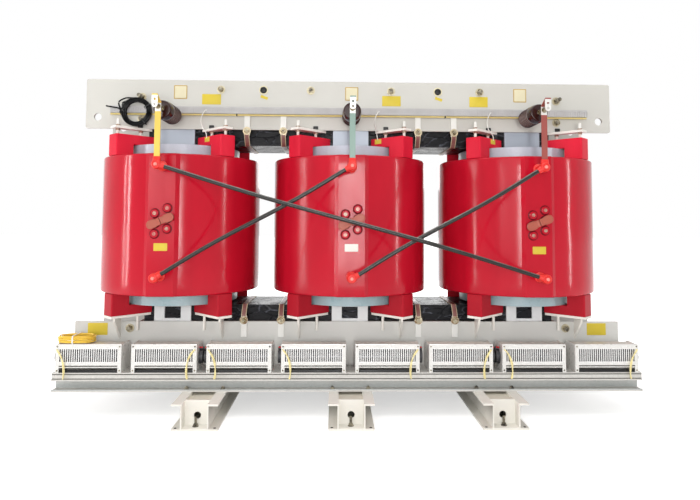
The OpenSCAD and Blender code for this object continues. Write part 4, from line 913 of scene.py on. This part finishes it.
def terminal_boots():
    """Boots: a stem that swells to a round cap with a nipple, a tapered sleeve along each link, and at the
    top a sleeve that flattens from round to the bar's section."""
    cap = revolve([(0, 0), (25, 0), (25, 5), (23.6, 7.5), (19, 9.4), (17.3, 13), (17, 20), (17, 60),
                   (18.4, 66), (21, 70.5), (22.6, 76), (23, 88), (22.7, 101), (21.4, 106.5), (18.6, 110),
                   (16.6, 110.4), (15.6, 108.2), (12, 108.2), (11, 111.8), (8.4, 112.2), (7.2, 113.4),
                   (7, 117.6), (6.2, 119.4), (4, 120), (0, 120)], 40)
    cap = facing(cap, 0, 0, -COIL_FACE)
    sleeve = revolve([(0, 0), (18, 0), (16.8, 14), (14.8, 26), (13.8, 33), (13.5, 36), (12.8, 37.5),
                      (11.4, 38), (0, 38)], 32)
    neck = loft([(38, 36, 17.0, 0.0), (38, 32, 15.0, 12.0), (37.2, 25, 11.6, 20.0), (36.6, 18, 8.2, 28.0),
                 (36, 14.4, 6.4, 33.0), (35, 13.6, 6.0, 36.8), (33, 12.2, 5.4, 38.0)])
    shells = []
    for top, low, _ in terminal_ends():
        shells += [stand(cap, (p[0], 0, p[2])) for p in (top, low)]
        shells += [stand(sleeve, top, low - top), stand(sleeve, low, top - low), stand(neck, top)]
    piece("terminal_boots", join(shells), BOOT, "hv_terminals", 45.0)


def delta_links():
    """Links: a round bar on a route that swings a little to both sides and, where it bows, steps forward."""
    tip, straight, swing = 34.0, 58.0, 7.0
    for k, (top, low, bow) in enumerate(terminal_ends()):
        way = unit(low - top)
        t = np.linspace(0, 1, 61)[:, None]
        a, b = top + way * straight, low - way * straight
        route = a + (b - a) * t
        route[:, 1:2] -= bow * eased(np.minimum(1, np.minimum(t, 1 - t) / 0.2))
        route[:, 2:] -= swing * np.sin(2 * np.pi * t)
        line = spaced(np.concatenate([[top + way * tip], route, [low - way * tip]]), 12.0)
        piece("delta_bar_%d" % (k + 1), tube(line, 10.0, 24), LINK, "delta_link_%d" % (k + 1))


terminal_boots()
delta_links()
rounded_copy("line_bar_a", BAR_A, 1.0)
rounded_copy("line_bar_b", BAR_B, 1.0)
rounded_copy("line_bar_c", BAR_C, 1.0)


def post_profile():
    """Ribbed post: neck, seven ribs whose radius is a flattened wave of the height, and a tapering head."""
    u = np.linspace(0, 7, 127)
    wave = 0.5 + 0.5 * np.tanh(1.3 * np.sin(2 * np.pi * u)) / math.tanh(1.3)
    ribs = np.stack([36.0 + 11.5 * wave, RIB_FOOT + u * RIB_PITCH], axis=1)
    head = [(40.0, 200.6), (47.2, 203.0), (47.5, 210.0), (46.6, 228.0), (43.6, 250.0), (42.0, 257.0),
            (39.6, 259.6), (37.0, 260.0), (0.0, 260.0)]
    return np.concatenate([[(0, 0), (11, 0), (11, 72), (13, 74), (30, 74)], ribs, head])


def posts():
    """Post insulators on the front clamp, with the stud, nuts and washer that hold each line bar."""
    body = facing(revolve(post_profile(), 56), 0, POST_Z)
    piece("ribbed_posts", at_limbs(body), POST, "post_insulators", 50.0)
    rod, nut = revolve([(0, 0), (8, 0), (8, 58), (0, 58)], 24), hex_nut(14.0, 12.0)
    stud = join([facing(rod, 0, POST_Z, -455.0), facing(nut, 0, POST_Z, -455.0),
                 facing(nut, 0, POST_Z, -501.0, (0.9, 0, 0.4))])
    piece("post_stud_nuts", at_limbs(stud), ZINC, "post_studs")
    front = join([facing(washer(13.0, 2.5), 0, POST_Z, -519.0),
                  facing(hex_nut(11.5, 8.0), 0, POST_Z, -521.5, (0.8, 0, 0.6)),
                  facing(thread(6.0, 5.0, 1.75), 0, POST_Z, -529.5)])
    piece("line_bar_bolts", at_limbs(front), ZINC)


posts()


# Wiring and low-voltage bars

def finger_duct():
    """Slotted duct: its front line steps in and out along the length, and carries up to a plain lid."""
    low, high = box_mm("wiring_duct")
    end, front, back, lid_z = high[0], low[1], high[1] - 0.2, high[2] - 8.0
    n, pitch, finger, depth = 202, 12.5, 8.3, 2.4
    k = np.repeat(np.arange(n), 4)
    x = -n * pitch / 2 + k * pitch + np.tile([0.0, finger, finger, pitch], n)
    y = np.tile([front, front, front + depth, front + depth], n)
    line = np.stack([np.concatenate([[-end], x, [end, end, -end]]),
                     np.concatenate([[front], y, [front, back, back]])], axis=1)
    walls = grid(np.stack([level(line, z) for z in (low[2], lid_z)]), close_v=True)
    lid = loft([(2 * end, 29.8, 1.5, 0.0), (2 * end, 29.8, 1.5, 7.0), (2 * end - 2.0, 27.8, 1.2, 8.0)])
    foot = loft([(2 * end, 27.2, 1.0, 0.0), (2 * end, 27.2, 1.0, 1.2)])
    shells = [walls, stand(lid, (0, -210.1, lid_z)), stand(foot, (0, -208.9, low[2]))]
    piece("finger_duct", join(shells), DUCT, "wiring_duct")


def loom():
    """Loom: a round wire that wavers along the duct's foot, with two black ties round it."""
    end = box_mm("sensor_loom")[1, 0]
    _, y, z = box_mm("sensor_loom").mean(0)
    x = np.linspace(-end, end, 160)
    waver = 0.15 * np.sin(x / 41.0) * np.cos(x / 170.0)
    line = np.stack([x, np.full(160, y), z + waver], axis=1)
    wire = tube(line, 4.9 + 0.15 * np.sin(x / 29.0), 16)
    piece("sensor_loom_wire", wire, LOOM, "sensor_loom")
    band = revolve([(5.2, -3.2), (6.4, -3.2), (6.8, -2.4), (6.8, 2.4), (6.4, 3.2), (5.2, 3.2),
                    (5.2, -3.2)], 24)
    bands = [stand(band, (x, y, z), (1, 0, 0), (0, 0, 1)) for x in (-603.0, 502.0)]
    piece("loom_ties", join(bands), BLACK)


def sensor_leads():
    """White sensor leads: each bows out of a slot of the duct and down to a yellow tag on a block's side."""
    shells, tags = [], []
    for limb, x0, dx, s in zip(LIMBS, (-760.0, 150.0, 747.0), (173.0, 145.0, -173.0), (1, 1, -1)):
        depth = -abs(dx) - 62.2
        tag = np.array([limb + dx, depth, 1372.0])
        out = np.array([-s, -1.0, 0.0]) / math.sqrt(2)
        route = [(x0, -223.0, 1530.0), (x0 - 8.0, -233.0, 1524.0), (x0 - 20.0, -238.0, 1500.0),
                 (x0 - 26.0, -239.0, 1472.0), (x0 - 18.0, -0.5 * (240.0 - depth), 1436.0),
                 tag + 3.5 * out + (-4.0, 0, 34.0), tag + 3.2 * out + (0, 0, 8.0)]
        shells.append(tube(curve_through(route, 4.0), 2.4, 12, (1.0, 0.0, 0.0)))
        tags.append(stand(slab(44.0, 25.0, 1.2, 2.0), tag, out))
    piece("sensor_lead_wires", join(shells), LEAD, "sensor_leads")
    piece("sensor_tags", join(tags), YELLOW)


def fan_leads():
    """Fan leads: two strands twisted round one bowed route from each fan's front flange down to the channel's
    lip, and two red sleeves where they reach the motor's terminals."""
    inward, top_z, drop = 38.0, 320.5, 141.0
    share = np.array([[0, 0.0, 0], [0, 5.0, 0], [0.25, 11.0, 0.06], [0.65, 12.0, 0.24], [0.92, 11.5, 0.48],
                      [1, 10.0, 0.74], [0.94, 8.5, 0.92], [0.88, 8.2, 0.985]])
    cap = loft([(5.4, 5.4, 2.4, 0.0), (6.6, 6.6, 2.6, 1.2), (6.6, 6.6, 2.6, 13.0), (4.4, 4.4, 2.0, 15.0)])
    shells, sleeves = [], []
    for x, s in zip(FAN_X, MOTOR_SIDE):
        route = np.stack([x + s * FLANGE_X - s * inward * share[:, 0], -FAN_FRONT - share[:, 1],
                          top_z - drop * share[:, 2]], axis=1)
        line = curve_through(route, 4.0)
        t = np.linspace(0, 1, len(line))
        apart = 2.8 * np.minimum(1, t * 8)
        for k in (0, np.pi):
            a = 5.0 * t + k + x
            off = np.stack([apart * np.cos(a), 0.7 * apart * np.sin(a), 0 * a], axis=1)
            shells.append(tube(line + off, 2.6, 10, (0.0, 1.0, 0.0)))
        sleeves += [facing(cap, x + s * 168.0 + k, 321.3, -314.6) for k in (-4.6, 4.6)]
    piece("fan_lead_pairs", join(shells), FAN_LEAD, "fan_leads")
    piece("motor_terminal_sleeves", join(sleeves), RED_CAP)


def tie_band(w, h, corner, width, middle, across, axis, t=1.3):
    """Cable tie: a flat strip bent round a rounded rectangle, with its section's four corners carried round
    the outline."""
    inner, outer = rounded(w, h, corner), rounded(w + 2 * t, h + 2 * t, corner + t)
    loops = [(inner, -1), (outer, -1), (outer, 1), (inner, 1)]
    rings = np.stack([level(outline, k * width / 2) for outline, k in loops])
    return stand(grid(rings, close_u=True, close_v=True), middle, axis, across)


def ties():
    """Ties that hold the spare cable's coil and the spare fan wire's hank."""
    shells = []
    for a in map(math.radians, (-52.0, 28.0)):
        out, along = (math.cos(a), 0, math.sin(a)), (-math.sin(a), 0, math.cos(a))
        middle = np.array([CABLE_X + 65.0 * math.cos(a), -240.2, CABLE_Z + 65.0 * math.sin(a)])
        shells.append(tie_band(38.0, 27.0, 8.0, 4.5, middle, out, along))
    piece("cable_ties", join(shells), BLACK)
    strip = tie_band(111.0, 39.0, 9.0, 7.0, (HANK_X, HANK_Y, 365.2), (0, 1, 0), (1, 0, 0))
    piece("hank_tie", strip, LEAD)


finger_duct()
loom()
sensor_leads()
fan_leads()
ties()
for node in ("lv_bars", "neutral_bar", "neutral_leads"):
    dress(node, BAR_TIN)
dress("lv_posts", LV_POST)
cable.data.materials[0] = CABLE
fan_wire.data.materials[0] = WIRE


# Plates, caps and small fittings

def plates():
    """Bare plates and labels: thin slabs with rounded corners, the square ones in a raised rim."""
    squares = [(-906.0, 1630.0), (4.0, 1630.0), (911.0, 1630.0)]
    rims = [facing(slab(70, 73, 1.2, 4), *p) for p in squares]
    piece("marking_plate_rims", join(rims), GOLD)
    inner = [facing(slab(61, 64, 1.0, 3), *p, -CLAMP_FACE - 1.2) for p in squares]
    piece("marking_plates", join(inner), CREAM)
    coil_label = slab(66, 37, 0.8, 3)
    labels = [facing(slab(100, 56, 0.8, 3), x, 1593.0) for x in (-742.0, 217.0, 687.0)]
    labels += [facing(slab(102, 62, 0.8, 3), x, 387.0) for x in (-1303.0, 1303.0)]
    outer_coils = ((LIMBS[0], 820.0), (LIMBS[2], 811.0))
    labels += [facing(coil_label, *p, -COIL_FACE) for p in outer_coils]
    piece("bare_labels", join(labels), YELLOW)
    piece("middle_coil_label", facing(coil_label, LIMBS[1], 820.0, -COIL_FACE), SEAT)


def clamp_plugs():
    """Domed plugs in the two spare clamp holes, each in a pale ring, with a small slanting tag below."""
    xs, z, tag_z = (-467.0, 467.0), 1645.0, 1606.0
    dome = revolve([(0, 0), (17.6, 0), (17.6, 10), (16.8, 13), (14, 15.2), (8, 16.4), (0, 16.8)], 40)
    ring = revolve([(18, 0), (24, 0), (24, 1.4), (23, 2.2), (19, 2.2), (18, 1.4)], 40)
    piece("clamp_plug_caps", join([facing(dome, x, z, -184.0) for x in xs]), BLACK)
    piece("clamp_plug_rings", join([facing(ring, x, z) for x in xs]), CREAM)
    tags = [facing(slab(40, 15, 0.8, 2), x + 4.0, tag_z, across=(0.94, 0, -0.34)) for x in xs]
    piece("clamp_plug_tags", join(tags), YELLOW)


def press_fittings():
    """On the press plates: red-brown lock nuts at both screws, a white cap pin on the outer stud, and a black
    square cap on the clamp over the inner screw."""
    inner, outer = 187.0, 275.8
    nut, cap = hex_nut(12.4, 9.5), slab(26.0, 17.0, 7.0, 3.0)
    pin = revolve([(0, 0), (8.6, 0), (8.6, 3), (7.6, 5), (7.3, 26.5), (6.4, 29.1), (4, 29.9), (0, 29.9)], 24)
    nuts, pins, caps = [], [], []
    for x in LIMBS:
        for s in (-1, 1):
            for d, z in ((inner, 1410.5), (outer, 1410.5), (outer, 1432.0)):
                nuts += [stand(nut, spot, across=(0.8, 0.6, 0)) for spot in both_sides([x + s * d], d, z)]
            pins += [stand(pin, spot) for spot in both_sides([x + s * outer], outer, 1441.5)]
            caps += [stand(cap, (x + s * inner, k * CLAMP_FACE, 1444.0), (0, k, 0)) for k in (-1, 1)]
    piece("press_lock_nuts", join(nuts), STRAP_NUT)
    piece("press_pin_caps", join(pins), LEAD)
    piece("press_screw_caps", join(caps), BLACK)


def rail_fittings():
    """On each rail's ends a levelling stud with nut and washer, and on its top flanges the bolts of the fan
    channels."""
    stud = join([stand(washer(14.0, 3.0), (0, 0, 10.0)), stand(hex_nut(11.0, 9.0), (0, 0, 13.0)),
                 stand(thread(6.0, 31.0, 1.75), (0, 0, 22.0))])
    head = join([washer(13.0, 3.0), stand(hex_nut(11.0, 8.0), (0, 0, 3.0)),
                 stand(thread(6.0, 5.0, 1.75), (0, 0, 11.0))])
    flanges = [x + s * 88.0 for x in RAILS for s in (-1, 1)]
    piece("levelling_studs", copies(stud, both_sides(RAILS - 2.0, 535.0)), STEEL)
    piece("channel_bolts", copies(head, both_sides(flanges, 368.0, 127.0)), STEEL)


def fan_screws():
    """Pan-head screws at the corners of each fan's front flanges."""
    dome = revolve([(0, 0), (4.2, 0), (4.0, 1.2), (2.8, 2.2), (0, 2.6)], 16)
    flanges = [x + s * FLANGE_X for x in FAN_X for s in (-1, 1)]
    spots = [(x, k, z) for x in flanges for z in (220.0, 335.0) for k in (-1, 1)]
    screws = [stand(dome, (x, k * FAN_FRONT, z), (0, k, 0)) for x, k, z in spots]
    piece("fan_flange_screws", join(screws), STEEL)


def fan_gaskets():
    """Black sealing strips on the fan bed, one along the foot of each fan's mouth."""
    strip = loft([(279.0, 7.0, 2.0, 0.0), (279.0, 7.0, 2.0, 9.8), (278.0, 5.0, 1.6, 11.4)])
    piece("fan_gaskets", copies(strip, both_sides(FAN_X, 367.0, BED_TOP)), BLACK)


def fan_hood_lips():
    """Folded lip along the top front edge of each fan's hood, with a dark strip of painted shadow behind it."""
    lip = loft([(316.0, 4.6, 1.2, 0.0), (316.0, 4.6, 1.2, 1.6), (315.0, 3.6, 1.0, 2.6)])
    shadow_strip = loft([(308.0, 3.4, 1.0, 0.0), (308.0, 3.4, 1.0, 0.7), (307.0, 2.6, 0.8, 1.0)])
    piece("fan_hood_lips", copies(lip, both_sides(FAN_X, 373.6, FAN_TOP)), GUARD)
    # dark strip behind the lip: painted shadow
    piece("fan_hood_shadow_strips", copies(shadow_strip, both_sides(FAN_X, 368.4, FAN_TOP)), BLACK)


def rail_beds():
    """Plain sheets on the ground inside the rails, between the webs."""
    sheet = loft([(115.0, 998.0, 2.0, 0.0), (115.0, 998.0, 2.0, 1.4), (114.0, 997.0, 1.6, 2.0)])
    piece("rail_bed_sheets", copies(sheet, [(x, 0, 0) for x in RAILS]), BED)


def rail_trays():
    """Recessed plates between the webs just under a rail's top, behind both end plates."""
    tray = loft([(116.4, 172.0, 2.0, 0.0), (116.4, 172.0, 2.0, 2.4), (115.4, 171.0, 1.6, 3.0)])
    piece("rail_trays", copies(tray, both_sides(RAILS, 413.4, 103.0)), BED)


def anchor_hole_shade():
    """Dark thin-walled sleeves in the anchor holes of the rails' feet, painted shade that darkens the holes: a
    ring's section turned about the hole's axis."""
    inner = ANCHOR_R - 1.0
    # the dark sleeves stand in for the shade inside the holes
    sleeve = revolve([(inner, 0.2), (ANCHOR_R, 0.2), (ANCHOR_R, 9.4), (inner, 9.4), (inner, 0.2)], 32)
    holes = [x + s * ANCHOR_X for x in RAILS for s in (-1, 1)]
    piece("anchor_hole_shade_sleeves", copies(sleeve, both_sides(holes, ANCHOR_Y)), BLACK)


def strips(length, height, t, y, z, middles=(0.0,)):
    """Long thin slabs that lie on a front and on a back face, at a height, round each middle."""
    flat = slab(length, height, t, 0.25 * height, 0.3 * t)
    return join([stand(flat, (x, k * y, z), (0, k, 0)) for x in middles for k in (-1, 1)])


def beam_folds():
    """Folds of the fan beams: a lip along the bed's top edge, an upturned lip on the channel's lower flange,
    and dark strips of painted shadow under the bed's lip and along the joint over the channel."""
    length = 2888.0
    folds = join([strips(length, 5.0, 3.0, FAN_FRONT, 207.2), strips(length, 5.8, 2.6, 381.4, 129.2)])
    piece("beam_folded_lips", folds, BEAM)
    # dark strips of painted shadow under the bed's lip and along the joint over the channel
    shade_strips = join([strips(length, 4.4, 0.6, FAN_FRONT, 202.0), strips(length, 3.6, 0.6, FAN_FRONT, 181.0)])
    piece("beam_shadow_strips", shade_strips, SEAM_SHADE)


def fan_mouths():
    """Round each fan's mouth: a pale rod across it, and a dark strip of painted shadow along the foot of the
    bar over it.
    """
    piece("fan_mouth_rods", strips(283.0, 5.0, 3.0, 372.6, 235.4, FAN_X), CASING)
    # dark strip under the bar over each mouth: painted shadow
    piece("fan_mouth_shadow_strips", strips(281.0, 4.0, 0.6, FAN_FRONT, 242.4, FAN_X), SEAM_SHADE)


plates()
clamp_plugs()
press_fittings()
rail_fittings()
fan_screws()
fan_gaskets()
fan_hood_lips()
rail_beds()
rail_trays()
anchor_hole_shade()
beam_folds()
fan_mouths()


# Room and light

def light(name, place, aim, size, power):
    """Soft rectangular lamp that faces a point."""
    data = bpy.data.lights.new(name, "AREA")
    data.shape, data.size, data.size_y, data.energy = "RECTANGLE", *size, power
    lamp = bpy.data.objects.new(name, data)
    back = unit(np.array(place, float) - np.array(aim, float))
    side = unit(np.cross([0.0, 0.0, 1.0], back)) if abs(back[2]) < 0.99 else np.array([1.0, 0.0, 0.0])
    turn = np.eye(4)
    turn[:3, 0], turn[:3, 1], turn[:3, 2], turn[:3, 3] = side, np.cross(back, side), back, place
    lamp.matrix_world = Matrix(turn.tolist())
    lamp.visible_camera = False
    scene.collection.objects.link(lamp)


def seen(tree):
    """Share that is 1 for rays of the camera, of gloss and of glass."""
    path = add(tree, "ShaderNodeLightPath").outputs
    mirrored = maths(tree, "MAXIMUM", path["Is Glossy Ray"], path["Is Transmission Ray"])
    return maths(tree, "MAXIMUM", path["Is Camera Ray"], mirrored)


def surround():
    """White surround for the camera, gloss and glass, dimmer in the light that it sheds."""
    world = bpy.data.worlds.new("studio")
    scene.world = world
    world.use_nodes = True
    tree = world.node_tree
    ground = tree.nodes["Background"]
    ground.inputs["Color"].default_value = (1.0, 1.0, 1.0, 1.0)
    tree.links.new(ramp(tree, seen(tree), 0.0, 1.0, 0.42, 1.0), ground.inputs["Strength"])


def floor_paint():
    """Pale floor that keeps the shadow and glows to white away from the middle."""
    material = bpy.data.materials.new("studio_floor")
    material.use_nodes = True
    tree = material.node_tree
    shader = tree.nodes["Principled BSDF"]
    shader.inputs["Base Color"].default_value = (0.84, 0.84, 0.83, 1.0)
    shader.inputs["Roughness"].default_value = 0.9
    shader.inputs["Specular IOR Level"].default_value = 0.1
    shader.inputs["Emission Color"].default_value = (1.0, 1.0, 1.0, 1.0)
    place = add(tree, "ShaderNodeTexCoord").outputs["Object"]
    far = add(tree, "ShaderNodeVectorMath", {0: place}, operation="LENGTH").outputs["Value"]
    glow = maths(tree, "MULTIPLY", seen(tree), ramp(tree, far, 1.2, 3.4, 0.52, 1.0))
    tree.links.new(glow, shader.inputs["Emission Strength"])
    return material


def lay_floor():
    """Flat floor just under the feet, 60 m square."""
    u = np.linspace(-30.0, 30.0, 3)
    flat = np.stack(np.meshgrid(u, u, indexing="ij"), axis=-1)
    points, faces = grid(np.concatenate([flat, np.full((3, 3, 1), -0.0005)], axis=-1))
    mesh = bpy.data.meshes.new("studio_floor")
    mesh.from_pydata(points.tolist(), [], faces.tolist())
    mesh.materials.append(floor_paint())
    floor = bpy.data.objects.new("studio_floor", mesh)
    scene.collection.objects.link(floor)


surround()
lay_floor()
light("front_panel", (-1.2, -6.4, 1.9), (0, 0, 0.75), (4.6, 2.8), 94.0)
light("left_window_near", (-4.9, -1.9, 1.3), (0, 0, 0.95), (0.16, 2.4), 52.0)
light("left_window_far", (-5.05, -1.4, 1.3), (0, 0, 0.95), (0.12, 2.4), 30.0)
light("right_window", (5.2, -1.9, 1.3), (0, 0, 0.95), (0.16, 2.2), 40.0)
light("front_window_left", (-2.75, -6.2, 1.75), (-0.9, 0, 1.0), (0.5, 1.3), 11.0)
light("front_window_middle", (0.16, -6.2, 1.12), (0, 0, 1.0), (0.45, 1.9), 80.0)
light("overhead", (0, -0.8, 4.6), (0, 0, 0.8), (4.2, 2.6), 90.0)
light("back_fill", (0.6, 5.6, 2.6), (0, 0, 0.85), (4.0, 2.4), 84.0)

scene.view_settings.view_transform = "Standard"
